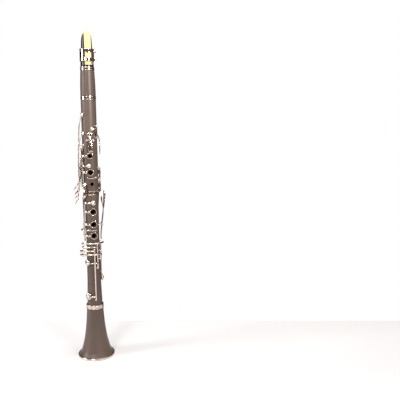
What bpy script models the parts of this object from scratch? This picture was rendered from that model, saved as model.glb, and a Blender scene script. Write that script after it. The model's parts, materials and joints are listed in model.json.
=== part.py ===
"""A B-flat clarinet with seventeen padded keys and six rings, standing on its bell.

Metres, +Z up along the bore, origin at the centre of the bell's rim. The tone holes face -Y.
A place on the instrument is (azimuth, radius, height): the azimuth in degrees round the bore
from the front (-Y), positive towards +X, the radius and the height in millimetres.
"""
import math

import bmesh
import bpy
from mathutils import Matrix, Vector

MM = 0.001

# Heights of the joints, in millimetres above the bell's rim.
TIP = 668.0
BARREL_TOP = 600.2
BARREL_BOTTOM = 536.3
MIDDLE = 354.3
BELL_TOP = 113.4
GAP = 0.3

# Radii, in millimetres.
BORE = 7.5
TENON = 10.6
CORK_INNER = 10.95
CORK_OUTER = 11.4
SOCKET = 11.7
UPPER_RADIUS = 15.0
RIM = 38.2

# The outer radius of the lower joint at a few heights.
LOWER_OUTLINE = [(345.0, 15.4), (340.0, 15.3), (322.0, 13.8), (250.0, 13.3), (165.0, 13.9),
                 (122.0, 15.4), (113.7, 15.5)]

# How far each joint is twisted from the front, in degrees.
MOUTH_TWIST = 8.0
LEFT_HAND = -6.0
RIGHT_HAND = 5.0

# Heights of the two holes at the back, for the thumb and for the register key.
THUMB_HOLE = 432.0
REGISTER_HOLE = 498.0

# Key work, in millimetres.
ROD = 0.8
TUBE_BORE = 1.1
TUBE = 1.6
POST = 1.3
BALL = 1.8
ARM = 1.1
CUP_HEIGHT = 2.8
PLATE = 1.3
RING_THICKNESS = 1.3

SIDES_BODY = 16
SIDES_SMALL = 6
SIDES_CUP = 10
SIDES_RING = 12


def clear_scene():
    for obj in list(bpy.data.objects):
        bpy.data.objects.remove(obj, do_unlink=True)


def new_collection(name):
    collection = bpy.data.collections.new(name)
    bpy.context.scene.collection.children.link(collection)
    return collection


clear_scene()
CLARINET = new_collection("clarinet")


def material(name, colour, metallic, roughness):
    made = bpy.data.materials.new(name)
    made.use_nodes = True
    shader = made.node_tree.nodes["Principled BSDF"]
    shader.inputs["Base Color"].default_value = (*colour, 1.0)
    shader.inputs["Metallic"].default_value = metallic
    shader.inputs["Roughness"].default_value = roughness
    return made


BODY_PLASTIC = material("body_plastic", (0.10, 0.085, 0.078), 0.0, 0.45)
GLOSS_PLASTIC = material("gloss_plastic", (0.01, 0.01, 0.01), 0.0, 0.15)
NICKEL = material("nickel_silver", (0.80, 0.74, 0.70), 1.0, 0.2)
STEEL = material("steel", (0.55, 0.54, 0.52), 1.0, 0.3)
CORK = material("cork", (0.55, 0.36, 0.2), 0.0, 0.9)
CANE = material("cane", (0.83, 0.75, 0.4), 0.0, 0.5)


def outward(azimuth):
    a = math.radians(azimuth)
    return Vector((math.sin(a), -math.cos(a), 0.0))


def point(azimuth, radius, height):
    return outward(azimuth) * radius * MM + Vector((0.0, 0.0, height * MM))


def seat(azimuth, radius, height):
    """A frame on the body: X runs round it, Y runs up it and Z points straight out of it."""
    out = outward(azimuth)
    up = Vector((0.0, 0.0, 1.0))
    around = up.cross(out)
    frame = Matrix((around, up, out)).transposed().to_4x4()
    frame.translation = point(azimuth, radius, height)
    return frame


def shift(x, y, z):
    return Matrix.Translation((x * MM, y * MM, z * MM))


ALONG_X = Matrix.Rotation(math.radians(90), 4, "Y")
ALONG_Y = Matrix.Rotation(math.radians(-90), 4, "X")


def surface(height):
    """The body's outer radius at a height, for the two joints that carry keys."""
    if height > MIDDLE:
        return UPPER_RADIUS
    for (top, r_top), (low, r_low) in zip(LOWER_OUTLINE, LOWER_OUTLINE[1:]):
        if low <= height <= top:
            return r_low + (r_top - r_low) * (height - low) / (top - low)
    return LOWER_OUTLINE[0][1]


def new_object(mesh, place=Matrix.Identity(4)):
    obj = bpy.data.objects.new("piece", mesh)
    CLARINET.objects.link(obj)
    obj.matrix_world = place
    return obj


def mesh_from(bm):
    bmesh.ops.recalc_face_normals(bm, faces=bm.faces)
    mesh = bpy.data.meshes.new("piece")
    bm.to_mesh(mesh)
    bm.free()
    return mesh


def evaluated(obj):
    """The object's mesh with its modifiers or its curve's bevel applied, and its seams welded."""
    bpy.context.view_layer.update()
    graph = bpy.context.evaluated_depsgraph_get()
    mesh = bpy.data.meshes.new_from_object(obj.evaluated_get(graph))
    bm = bmesh.new()
    bm.from_mesh(mesh)
    bmesh.ops.remove_doubles(bm, verts=bm.verts, dist=0.000002)
    bmesh.ops.dissolve_degenerate(bm, edges=bm.edges, dist=0.000002)
    bm.to_mesh(mesh)
    bm.free()
    return mesh


def turned(profile, sides, place=Matrix.Identity(4), closed=False):
    """A profile of (radius, height) points, outer side from top to bottom, turned about Z."""
    bm = bmesh.new()
    verts = [bm.verts.new((r * MM, 0.0, z * MM)) for r, z in profile]
    for start, end in zip(verts, verts[1:]):
        bm.edges.new((start, end))
    if closed:
        bm.edges.new((verts[-1], verts[0]))
    mesh = bpy.data.meshes.new("profile")
    bm.to_mesh(mesh)
    bm.free()
    obj = new_object(mesh, place)
    screw = obj.modifiers.new("turn", "SCREW")
    screw.steps = sides
    screw.render_steps = sides
    screw.use_merge_vertices = True
    screw.merge_threshold = 0.000005
    obj.data = evaluated(obj)
    obj.modifiers.clear()
    return obj


def block(size, place):
    bm = bmesh.new()
    bmesh.ops.create_cube(bm, size=MM)
    bmesh.ops.scale(bm, vec=size, verts=bm.verts)
    return new_object(mesh_from(bm), place)


def rod(radius, length, place, sides=SIDES_SMALL):
    """A cylinder along the frame's Z, centred on it."""
    bm = bmesh.new()
    bmesh.ops.create_cone(bm, cap_ends=True, segments=sides, radius1=radius * MM,
                          radius2=radius * MM, depth=length * MM)
    return new_object(mesh_from(bm), place)


def ball(radius, place):
    bm = bmesh.new()
    bmesh.ops.create_uvsphere(bm, u_segments=7, v_segments=5, radius=radius * MM)
    return new_object(mesh_from(bm), place)


def from_curve(curve, place):
    obj = new_object(curve, place)
    made = new_object(evaluated(obj), place)
    bpy.data.objects.remove(obj)
    return made


def wire(places, radius):
    """A round bar through (azimuth, radius, height) places, kept to the arc between them."""
    points = [point(*places[0])]
    for start, end in zip(places, places[1:]):
        steps = max(1, math.ceil(abs(end[0] - start[0]) / 25.0))
        for step in range(1, steps + 1):
            blend = step / steps
            points.append(point(*(s + (e - s) * blend for s, e in zip(start, end))))
    curve = bpy.data.curves.new("wire", "CURVE")
    curve.dimensions = "3D"
    curve.bevel_depth = radius * MM
    curve.bevel_resolution = 1
    curve.use_fill_caps = True
    spline = curve.splines.new("POLY")
    spline.points.add(len(points) - 1)
    for knot, place in zip(spline.points, points):
        knot.co = (*place, 1.0)
    return from_curve(curve, Matrix.Identity(4))


def plate(outline, thickness, place):
    """A flat outline of (x, y) points in the frame's plane, as thick as stated about it."""
    curve = bpy.data.curves.new("plate", "CURVE")
    curve.dimensions = "2D"
    curve.fill_mode = "BOTH"
    curve.extrude = 0.5 * thickness * MM
    spline = curve.splines.new("POLY")
    spline.points.add(len(outline) - 1)
    for knot, (x, y) in zip(spline.points, outline):
        knot.co = (x * MM, y * MM, 0.0, 1.0)
    spline.use_cyclic_u = True
    return from_curve(curve, place)


def rounded(width, height, corners=3):
    """The outline of a bar whose shorter ends are half circles."""
    radius = min(width, height) / 2
    reach_x = width / 2 - radius
    reach_y = height / 2 - radius
    outline = []
    for quarter, (sx, sy) in enumerate(((1, 1), (-1, 1), (-1, -1), (1, -1))):
        for step in range(corners):
            a = math.radians(90 * quarter + 90 * (step + 0.5) / corners)
            outline.append((sx * reach_x + radius * math.cos(a),
                            sy * reach_y + radius * math.sin(a)))
    return outline


def fuse(name, pieces, cuts, origin, finish):
    """One named solid: the pieces joined, the cuts taken away, its origin on its own axis."""
    base = pieces[0]
    for tool, operation in [(t, "UNION") for t in pieces[1:]] + [(t, "DIFFERENCE") for t in cuts]:
        boolean = base.modifiers.new(operation, "BOOLEAN")
        boolean.operation = operation
        boolean.solver = "EXACT"
        boolean.object = tool
    mesh = evaluated(base)
    mesh.transform(Matrix.Translation(-origin) @ base.matrix_world)
    for obj in [*pieces, *cuts]:
        bpy.data.objects.remove(obj)
    mesh.materials.clear()
    mesh.materials.append(finish)
    mesh.shade_smooth()
    mesh.set_sharp_from_angle(angle=math.radians(35))
    made = new_object(mesh, Matrix.Translation(origin))
    made.name = name
    return made


AXIS = Vector((0.0, 0.0, 0.0))


# ---- Mouthpiece, reed and ligature ------------------------------------------------------------

TABLE = 8.5
LIGATURE_TOP = 634.7
LIGATURE_BOTTOM = 610.5
LIGATURE_OFFSET = -0.8
SCREW_HEIGHTS = {"upper": 630.9, "lower": 616.2}
SCREW_DEPTH = 16.8
TWIST = Matrix.Rotation(math.radians(MOUTH_TWIST), 4, "Z")


def make_mouthpiece():
    outline = [(0, TIP), (6.9, TIP), (8.9, 662), (10.2, 650), (10.65, 642), (11.0, 634),
               (12.95, 605), (12.95, BARREL_TOP + GAP), (TENON, BARREL_TOP + GAP),
               (TENON, 584.5), (0, 584.5)]
    body = turned(outline, SIDES_BODY, TWIST)
    beak = Matrix.Rotation(math.radians(27.2), 4, "X")
    cuts = [block((40, 20, 84), TWIST @ shift(0, -TABLE - 10, 645)),
            block((60, 60, 90), TWIST @ shift(0, 2.15, 651.1) @ beak @ shift(0, 30, 0)),
            rod(7.4, 52, TWIST @ shift(0, 0, 608), SIDES_BODY),
            block((9.6, 8, 24), TWIST @ shift(0, -5.5, 638)),
            block((9.6, 5, 12), TWIST @ shift(0, -7.3, 655))]
    fuse("mouthpiece", [body], cuts, AXIS, GLOSS_PLASTIC)


def make_reed():
    frame = Matrix(((0, 0, -1, 0), (-1, 0, 0, 0), (0, 1, 0, 0), (0, 0, 0, 1)))
    side = [(8.8, 603.7), (11.9, 603.7), (11.9, 634.5), (10.4, 650), (9.2, 667.4), (8.8, 667.4)]
    fuse("reed", [plate(side, 12.8, TWIST @ frame)], [], AXIS, CANE)


def make_ligature():
    wall = [(13.8, LIGATURE_TOP), (14.3, LIGATURE_BOTTOM), (13.6, LIGATURE_BOTTOM),
            (13.1, LIGATURE_TOP)]
    centre = TWIST @ shift(0, LIGATURE_OFFSET, 0)
    pieces = [turned(wall, SIDES_BODY, centre, closed=True)]
    cuts = [block((2.4, 8, 40), TWIST @ shift(0, 14, 622))]
    for height in SCREW_HEIGHTS.values():
        for side in (-1, 1):
            pieces.append(block((2.6, 6.6, 5.2), TWIST @ shift(side * 3.4, 15.9, height)))
        cuts.append(rod(1.6, 16, TWIST @ shift(0, SCREW_DEPTH, height) @ ALONG_X))
    for azimuth in (-70, -16, 16, 70):
        window = seat(azimuth, 14, 622.8)
        cuts.append(block((6.4, 8.6, 8), centre @ window))
    fuse("ligature_band", pieces, cuts, AXIS, NICKEL)
    for name, height in SCREW_HEIGHTS.items():
        axis = TWIST @ shift(0, SCREW_DEPTH, height)
        shank = rod(1.25, 23, axis @ shift(4.5, 0, 0) @ ALONG_X)
        flat = Matrix.Identity(4) if name == "upper" else ALONG_Y
        paddle = rod(4.0, 1.8, axis @ shift(18.2, 0, 0) @ flat, SIDES_RING)
        fuse("ligature_screw_" + name, [paddle, shank], [], axis.translation, NICKEL)


# ---- The five joints of the body --------------------------------------------------------------

def make_ring(name, top, bottom, inner, outer):
    edge = 0.4
    wall = [(outer - edge, top), (outer, top - edge), (outer, bottom + edge),
            (outer - edge, bottom), (inner, bottom), (inner, top)]
    fuse(name, [turned(wall, SIDES_BODY, closed=True)], [], AXIS, NICKEL)


def make_cork(name, top, bottom):
    wall = [(CORK_OUTER, top), (CORK_OUTER, bottom), (CORK_INNER, bottom), (CORK_INNER, top)]
    fuse(name, [turned(wall, SIDES_BODY, closed=True)], [], AXIS, CORK)


def make_barrel():
    ring = 7.0
    wall = [(12.25, BARREL_TOP), (12.25, BARREL_TOP - ring - GAP), (13.65, BARREL_TOP - ring - GAP),
            (14.1, 585), (14.6, 566), (15.0, 550), (15.1, BARREL_BOTTOM + ring + GAP),
            (12.25, BARREL_BOTTOM + ring + GAP), (12.25, BARREL_BOTTOM),
            (SOCKET, BARREL_BOTTOM), (SOCKET, 554), (BORE, 554), (BORE, 583.2),
            (SOCKET, 583.2), (SOCKET, BARREL_TOP)]
    fuse("barrel", [turned(wall, SIDES_BODY, closed=True)], [], AXIS, BODY_PLASTIC)
    make_ring("barrel_ring_top", BARREL_TOP, BARREL_TOP - ring, 12.6, 13.9)
    make_ring("barrel_ring_bottom", BARREL_BOTTOM + ring, BARREL_BOTTOM, 12.6, 15.3)


def hole(azimuth, height, radius, depth=24.0, inner=4.0):
    """A cutter for a tone hole, from inside the bore to outside the body."""
    middle = inner + depth / 2
    return rod(radius, depth, seat(azimuth, middle, height), SIDES_CUP)


def boss(azimuth, height, radius, rise):
    """A raised rim round a tone hole."""
    top = surface(height) + rise
    return rod(radius, 5.0, seat(azimuth, top - 2.5, height), SIDES_RING)


# Finger holes: azimuth, height, hole radius, rim radius, rise of the rim.
UPPER_HOLES = [(LEFT_HAND, 425.3, 4.1, 4.8, 0.6), (LEFT_HAND, 392.3, 4.8, 5.4, 0.6),
               (3.0, 368.4, 3.9, 6.2, 1.6)]
LOWER_HOLES = [(RIGHT_HAND, height, 5.1, 5.8, 0.6) for height in (311.6, 285.3, 261.9)]


def make_upper_joint():
    shoulder = BARREL_BOTTOM - GAP
    foot = MIDDLE + GAP
    wall = [(TENON, 552.8), (TENON, shoulder), (UPPER_RADIUS - 0.5, shoulder),
            (UPPER_RADIUS, shoulder - 0.8), (UPPER_RADIUS, foot), (TENON, foot),
            (TENON, 337), (BORE, 337), (BORE, 552.8)]
    pieces = [turned(wall, SIDES_BODY, closed=True)]
    cuts = []
    for azimuth, height, radius, rim, rise in UPPER_HOLES:
        pieces.append(boss(azimuth, height, rim, rise))
        cuts.append(hole(azimuth, height, radius))
    cuts.append(hole(180, THUMB_HOLE, 5.35))
    cuts.append(hole(180, REGISTER_HOLE, 2.7))
    fuse("upper_joint", pieces, cuts, AXIS, BODY_PLASTIC)
    make_cork("upper_joint_cork_top", 550, 539)
    make_cork("upper_joint_cork_bottom", 352, 340)


def make_lower_joint():
    neck = 12.9
    outer = [(r, z) for z, r in LOWER_OUTLINE]
    wall = [(neck, MIDDLE - GAP), (neck, 345.0), *outer, (TENON, 113.7), (TENON, 92.5),
            (9.0, 92.5), (BORE, 150), (BORE, 335.5), (SOCKET, 335.5), (SOCKET, MIDDLE - GAP)]
    pieces = [turned(wall, SIDES_BODY, closed=True)]
    cuts = []
    for azimuth, height, radius, rim, rise in LOWER_HOLES:
        pieces.append(boss(azimuth, height, rim, rise))
        cuts.append(hole(azimuth, height, radius))
    fuse("lower_joint", pieces, cuts, AXIS, BODY_PLASTIC)
    make_ring("lower_joint_ring", MIDDLE, 345.3, 13.25, 15.7)
    make_cork("lower_joint_cork", 111.5, 96)


def make_bell():
    wall = [(15.2, BELL_TOP - GAP), (15.2, 104.5), (17.3, 104.5), (17.3, 97), (18.7, 79),
            (20.0, 66), (21.8, 52), (23.9, 39), (26.8, 26), (31.0, 12), (35.7, 4.8), (35.7, GAP),
            (34.2, GAP), (30.0, 8), (24.5, 22), (20.6, 36), (17.6, 50), (15.0, 66), (12.6, 80),
            (11.0, 90.5), (SOCKET, 91.5), (SOCKET, BELL_TOP - GAP)]
    fuse("bell", [turned(wall, SIDES_BODY, closed=True)], [], AXIS, BODY_PLASTIC)
    make_ring("bell_ring_top", BELL_TOP, 104.8, 15.5, 17.7)
    rim = [(RIM - 1.2, 5.2), (RIM, 4.2), (RIM, 0.8), (RIM - 0.8, 0), (36.1, 0), (36.1, 5.2)]
    fuse("bell_ring_bottom", [turned(rim, SIDES_BODY, closed=True)], [], AXIS, NICKEL)


def make_bushings():
    for name, height, inner, outer, top in (("thumb_bushing", THUMB_HOLE, 4.0, 5.0, 15.8),
                                            ("register_tube", REGISTER_HOLE, 1.5, 2.3, 15.0)):
        pipe = [(outer, top), (outer, 8.6), (inner, 8.6), (inner, top)]
        place = seat(180, 0, height)
        fuse(name, [turned(pipe, SIDES_CUP, place, closed=True)], [],
             point(180, top, height), NICKEL)


def make_thumb_rest():
    base = block((11, 24, 1.4), seat(180, 14.6, 292))
    hook = block((13, 3.0, 14), seat(180, 21.5, 301))
    fuse("thumb_rest", [base, hook], [], point(180, 14, 292), NICKEL)


# ---- Key work ---------------------------------------------------------------------------------

def cup(azimuth, height, radius, lift=0.0):
    """A padded cup over a tone hole; lift is how far its pad stands off at rest."""
    top = CUP_HEIGHT
    outline = [(0, top), (0.7 * radius, top - 0.45), (radius, top - 1.3), (radius, 0), (0, 0)]
    face = surface(height) + GAP + lift
    return turned(outline, SIDES_CUP, seat(azimuth, face, height))


def ring(azimuth, height, inner, outer, bottom):
    top = bottom + RING_THICKNESS
    wall = [(outer, top), (outer, bottom), (inner, bottom), (inner, top)]
    return turned(wall, SIDES_RING, seat(azimuth, 0, height), closed=True)


def ring_edge(azimuth, height, middle, level, side):
    """Where an arm meets a ring: on the middle of its band, to one side of its hole."""
    turn = math.degrees(math.atan2(middle, level))
    return (azimuth + side * turn, math.hypot(middle, level), height)


def touch(azimuth, radius, height, width, length, tilt=0.0):
    """A flat finger plate; tilt leans its top towards the body."""
    lean = Matrix.Rotation(math.radians(-tilt), 4, "X")
    return plate(rounded(width, length), PLATE, seat(azimuth, radius, height) @ lean)


def along(azimuth, radius, low, high, thickness, extra=0.0):
    """A cylinder parallel to the bore between two heights."""
    place = seat(azimuth, radius, (low + high) / 2) @ ALONG_Y
    return rod(thickness, high - low + 2 * extra, place)


def across(hinge, offset, half, thickness):
    """A cylinder across the body, at an offset along its hinge."""
    return rod(thickness, 2 * half, seat(*hinge) @ shift(offset, 0, 0) @ ALONG_X)


def long_key(name, hinge, parts):
    """A key on a tube parallel to the bore; hinge is (azimuth, radius, low, high)."""
    tube = along(*hinge, TUBE)
    bore = along(*hinge, TUBE_BORE, extra=2.0)
    azimuth, radius, low, high = hinge
    fuse(name, [tube, *parts], [bore], point(azimuth, radius, (low + high) / 2), NICKEL)


def cross_key(name, hinge, offset, half, parts):
    """A key that rocks on a short tube across the body; hinge is (azimuth, radius, height)."""
    tube = across(hinge, offset, half, TUBE)
    bore = across(hinge, offset, half + 2.0, TUBE_BORE)
    fuse(name, [tube, *parts], [bore], point(*hinge), NICKEL)


POST_STEP = GAP + BALL


def long_pivot(name, azimuth, radius, low, high):
    """Two posts and the steel between them, for tubes from low to high."""
    pieces = [along(azimuth, radius, low, high, ROD, extra=POST_STEP)]
    for height in (low - POST_STEP, high + POST_STEP):
        foot = surface(height) + GAP + 0.1
        middle = (foot + radius) / 2
        pieces.append(rod(POST, radius - foot, seat(azimuth, middle, height)))
        pieces.append(ball(BALL, seat(azimuth, radius, height)))
    fuse(name, pieces, [], point(azimuth, radius, (low + high) / 2), STEEL)


def cross_pivot(name, hinge, half):
    """Two posts and the steel between them, for tubes reaching half a length either way."""
    azimuth, radius, height = hinge
    reach = half + POST_STEP
    pieces = [across(hinge, 0, reach, ROD)]
    foot = math.sqrt(surface(height) ** 2 - (reach - POST) ** 2) + GAP + 0.1
    for side in (-reach, reach):
        place = seat(azimuth, (foot + radius) / 2, height) @ shift(side, 0, 0)
        pieces.append(rod(POST, radius - foot, place))
        pieces.append(ball(BALL, seat(*hinge) @ shift(side, 0, 0)))
    fuse(name, pieces, [], point(*hinge), STEEL)


# ---- Upper joint's keys -----------------------------------------------------------------------

THROAT_A = (0.0, 18.2, 456.1)
THROAT_G = (48.0, 18.0, 464.0, 482.0)
RINGS_UPPER = (-66.0, 19.6)
SIDE_UPPER = (-86.0, 22.0, 447.0)
SIDE_LOWER = (-116.0, 21.5, 401.0)
SLIVER_UPPER = (72.0, 18.4, 380.7, 398.0)
C_SHARP = (72.0, 18.4, 359.0, 371.0)
REGISTER = (180.0, 19.0, 468.0)
THUMB = (138.0, 19.0, 422.0, 462.0)
SIDE_OFFSET = 1.6
SIDE_HALF = 1.4


def make_throat_keys():
    cross_pivot("throat_a_pivot", THROAT_A, 4.2)
    cross_key("throat_a_key", THROAT_A, 0, 4.2,
              [cup(-2, 467.5, 5.5), wire([(-2, 17.2, 467.5), THROAT_A, (1, 20.0, 442)], ARM),
               touch(1, 20.0, 440.5, 11, 14)])
    azimuth, radius, low, high = THROAT_G
    long_pivot("throat_g_sharp_pivot", *THROAT_G)
    long_key("throat_g_sharp_key", THROAT_G,
             [cup(14, 478.5, 4.2), wire([(azimuth, radius, 478.5), (14, 17.0, 478.5)], ARM),
              wire([(azimuth, radius, 467), (64, 19.2, 459), (80, 19.5, 448)], ARM),
              touch(81, 19.5, 440, 6.5, 24)])


def make_upper_ring_keys():
    azimuth, radius = RINGS_UPPER
    long_pivot("upper_ring_rod", azimuth, radius, 363, 440)
    long_key("first_finger_ring_key", (azimuth, radius, 421.3, 440),
             [ring(LEFT_HAND, 425.3, 5.2, 6.4, 17.6),
              wire([(azimuth, radius, 425.3), ring_edge(LEFT_HAND, 425.3, 6.0, 18.3, -1)], ARM)])
    long_key("second_finger_ring_key", (azimuth, radius, 363, 420.8),
             [ring(LEFT_HAND, 392.3, 5.8, 7.0, 17.6), cup(-12, 405.5, 4.6, 1.6),
              wire([(azimuth, radius, 392.3), ring_edge(LEFT_HAND, 392.3, 6.6, 18.3, -1)], ARM),
              wire([(azimuth, radius, 405.5), (-12, 18.5, 405.5)], ARM),
              wire([(azimuth, radius, 366), (-46, 17.9, 366)], ARM),
              touch(-45, 17.9, 361, 7, 20)])


def make_side_keys():
    cross_pivot("side_pivot_upper", SIDE_UPPER, SIDE_OFFSET + SIDE_HALF)
    cross_pivot("side_pivot_lower", SIDE_LOWER, SIDE_OFFSET + SIDE_HALF)
    cross_key("side_key_4", SIDE_UPPER, -SIDE_OFFSET, SIDE_HALF,
              [wire([(-60, 17.0, 506.4), (-76, 19.5, 490), (-88, 20.8, 470), (-90.2, 22.05, 447),
                     (-90, 23.5, 420), (-90, 24, 376), (-90, 29, 363)], ARM),
               cup(-60, 506.4, 4.6), touch(-90, 30.5, 361, 5.5, 13, 40)])
    cross_key("side_key_3", SIDE_UPPER, SIDE_OFFSET, SIDE_HALF,
              [wire([(-60, 17.0, 470), (-74, 19.6, 459), (-81.8, 22.05, 447), (-82, 23.5, 420),
                     (-82, 24, 374), (-82, 28, 354)], ARM),
               cup(-60, 470, 4.6), touch(-82, 29.5, 352, 5.5, 13, 40)])
    cross_key("side_key_2", SIDE_LOWER, SIDE_OFFSET, SIDE_HALF,
              [wire([(-112, 17.0, 431), (-112, 21.3, 416), (-111.8, 21.56, 401), (-111, 22, 388),
                     (-104, 24, 372), (-98, 28, 345)], ARM),
               cup(-112, 431, 4.4), touch(-97, 29.5, 342, 5.5, 13, 35)])
    cross_key("side_key_1", SIDE_LOWER, -SIDE_OFFSET, SIDE_HALF,
              [wire([(-120, 17.0, 415.5), (-120.2, 21.56, 401), (-119, 22, 386), (-112, 24.5, 362),
                     (-107, 29, 335)], ARM),
               cup(-120, 415.5, 4.4), touch(-106, 30.5, 331, 5.5, 13, 35)])


def make_upper_side_levers():
    azimuth, radius, low, high = SLIVER_UPPER
    long_pivot("upper_sliver_pivot", *SLIVER_UPPER)
    long_key("upper_sliver_key", SLIVER_UPPER,
             [cup(102, 391, 4.2), wire([(azimuth, radius, 390.6), (102, 17.0, 391)], ARM),
              wire([(azimuth, radius, 383.0), (40, 19.6, 382), (6, 19.9, 381.5)], ARM),
              touch(0, 19.9, 381.5, 16, 3.4)])
    azimuth, radius, low, high = C_SHARP
    long_pivot("c_sharp_pivot", *C_SHARP)
    long_key("c_sharp_key", C_SHARP,
             [cup(101, 364, 4.6), wire([(azimuth, radius, 364), (101, 17.0, 364)], ARM),
              wire([(azimuth, radius, 360.6), (50, 20.2, 357)], ARM),
              touch(44, 20.2, 355.5, 12, 7)])


def make_back_keys():
    cross_pivot("register_pivot", REGISTER, 3.5)
    cross_key("register_key", REGISTER, 0, 3.5,
              [cup(180, REGISTER_HOLE, 4.2),
               wire([(180, 17.0, REGISTER_HOLE), (180, 19.2, 482), REGISTER, (180, 22.3, 455)],
                    ARM),
               touch(180, 22.5, 449.5, 7, 15)])
    azimuth, radius, low, high = THUMB
    long_pivot("thumb_ring_pivot", *THUMB)
    long_key("thumb_ring_key", THUMB,
             [ring(180, THUMB_HOLE, 5.9, 7.3, 17.6), cup(160, 455, 4.4, 1.2),
              wire([(azimuth, radius, THUMB_HOLE), ring_edge(180, THUMB_HOLE, 6.8, 18.3, -1)],
                   ARM),
              wire([(azimuth, radius, 455), (160, 18.2, 455)], ARM)])


# ---- Lower joint's keys -----------------------------------------------------------------------

RINGS_LOWER = (-66.0, 18.3, 255.0, 341.0)
SLIVER_LOWER = (-100.0, 17.4, 264.0, 286.0)
LEVERS = (94.0, 19.5, 283.0)
LEVER_STEP = 2.72
LEVER_HALF = 1.15
F_KEY = (112.0, 16.9, 166.0, 243.0)
F_SHARP_KEY = (26.0, 17.0, 196.0, 240.0)
E_KEY = (5.0, 17.6, 128.0, 232.0)
G_SHARP_KEY = (50.0, 17.0, 214.0, 227.0)


def make_lower_ring_key():
    azimuth, radius, low, high = RINGS_LOWER
    long_pivot("lower_ring_rod", *RINGS_LOWER)
    parts = [cup(12, 330, 5.0, 1.75), touch(-45, 20.6, 349, 7, 16),
             wire([(azimuth, radius, 330), (12, 17.9, 330)], ARM),
             wire([(azimuth, radius, 338.5), (-52, 20.2, 339.5), (-45, 20.6, 345)], ARM)]
    for finger_hole in LOWER_HOLES:
        height = finger_hole[1]
        parts.append(ring(RIGHT_HAND, height, 6.2, 7.4, 16.0))
        edge = ring_edge(RIGHT_HAND, height, 7.0, 16.7, -1)
        parts.append(wire([(azimuth, radius, height), edge], ARM))
    long_key("lower_ring_key", RINGS_LOWER, parts)


def make_lower_sliver():
    azimuth, radius, low, high = SLIVER_LOWER
    long_pivot("lower_sliver_pivot", *SLIVER_LOWER)
    long_key("lower_sliver_key", SLIVER_LOWER,
             [cup(-126, 277, 4.4), wire([(azimuth, radius, 277), (-126, 15.4, 277)], ARM),
              wire([(azimuth, radius, 274), (-92, 21, 274), (-80, 23, 274), (-62, 23.2, 274),
                    (-42, 21.6, 274), (-20, 19.6, 274), (-4, 18.3, 274)], ARM),
              touch(3, 18.3, 274, 14, 3.4)])


def make_left_levers():
    cross_pivot("lever_pivot", LEVERS, LEVER_STEP + LEVER_HALF)
    cross_key("left_lever_e", LEVERS, 0, LEVER_HALF,
              [wire([(98, 25.6, 342), (94, 23, 310), LEVERS, (94, 17.5, 262), (94, 17.2, 251)],
                    0.95),
               touch(98, 25.8, 345, 7, 13, -3)])
    cross_key("left_lever_f", LEVERS, -LEVER_STEP, LEVER_HALF,
              [wire([(66, 21.5, 334), (75, 22.6, 321), (86, 22.8, 308), (86.1, 19.69, 283),
                     (86, 17.6, 262), (86, 17.4, 251)], 0.95),
               touch(64, 21.4, 336, 6, 12)])
    cross_key("left_lever_f_sharp", LEVERS, LEVER_STEP, LEVER_HALF,
              [wire([(112, 29.3, 335), (108, 27, 322), (103, 23.5, 308), (101.9, 19.69, 283),
                     (102, 17.6, 262), (102, 17.4, 251)], 0.95),
               touch(112, 29.7, 337, 7, 12, -10)])


def make_little_finger_keys():
    azimuth, radius, low, high = F_KEY
    long_pivot("f_key_pivot", *F_KEY)
    long_key("f_key", F_KEY,
             [cup(78, 170, 7.0, 1.9), wire([(azimuth, radius, 170), (78, 17.7, 170)], ARM),
              wire([(azimuth, radius, 241), (104, 19.5, 242.5), (90, 21, 245), (60, 21.5, 246.2),
                    (-20, 21.4, 246.2), (-40, 22.6, 246.2), (-52, 24.6, 246.2)], ARM),
              touch(-50, 24.6, 246.2, 15, 5.4)])
    azimuth, radius, low, high = F_SHARP_KEY
    long_pivot("f_sharp_key_pivot", *F_SHARP_KEY)
    long_key("f_sharp_key", F_SHARP_KEY,
             [cup(-58, 205, 6.0, 2.4),
              wire([(azimuth, radius, 205), (14, 20.9, 205), (5, 21.5, 205), (-20, 20.7, 205),
                    (-58, 17.9, 205)], ARM),
              wire([(azimuth, radius, 238.5), (10, 18.6, 238.5), (-15, 19.6, 238.5),
                    (-40, 22, 238.5), (-50, 24, 238.5)], ARM),
              touch(-49, 24.0, 238.7, 15, 5.4)])
    azimuth, radius, low, high = E_KEY
    long_pivot("e_key_pivot", *E_KEY)
    long_key("e_key", E_KEY,
             [cup(-50, 133, 7.0, 2.4),
              wire([(azimuth, radius, 133), (-25, 19.7, 133), (-50, 19.3, 133)], ARM),
              wire([(azimuth, radius, 230.5), (-15, 19.4, 230.5), (-40, 22.8, 230.5),
                    (-55, 27.0, 230.5)], ARM),
              touch(-56, 27.6, 230.8, 15, 5.4)])
    azimuth, radius, low, high = G_SHARP_KEY
    long_pivot("g_sharp_key_pivot", *G_SHARP_KEY)
    long_key("g_sharp_key", G_SHARP_KEY,
             [cup(80, 220, 5.5),
              wire([(azimuth, radius, 220), (66, 16.9, 220), (80, 15.5, 220)], ARM),
              wire([(azimuth, radius, 223.5), (40, 20.8, 223.5), (26, 22.0, 223.5),
                    (5, 22.8, 223.5), (-20, 23.0, 223.5), (-40, 24.2, 223.5),
                    (-54, 26.8, 223.5)], ARM),
              touch(-55, 27.4, 223.2, 15, 5.4)])


def main():
    make_mouthpiece()
    make_cork("mouthpiece_cork", 598, 587)
    make_reed()
    make_ligature()
    make_barrel()
    make_upper_joint()
    make_lower_joint()
    make_bell()
    make_bushings()
    make_thumb_rest()
    make_throat_keys()
    make_upper_ring_keys()
    make_side_keys()
    make_upper_side_levers()
    make_back_keys()
    make_lower_ring_key()
    make_lower_sliver()
    make_left_levers()
    make_little_finger_keys()


main()
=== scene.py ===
"""The finished look of a B-flat clarinet standing on its bell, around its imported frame.

Places follow the frame's own layout: (azimuth, radius, height), the azimuth in degrees round
the bore from the front (-Y), positive towards +X, the radius and the height in millimetres.
"""
import json
import math

import bmesh
import bpy
from mathutils import Matrix, Vector


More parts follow.
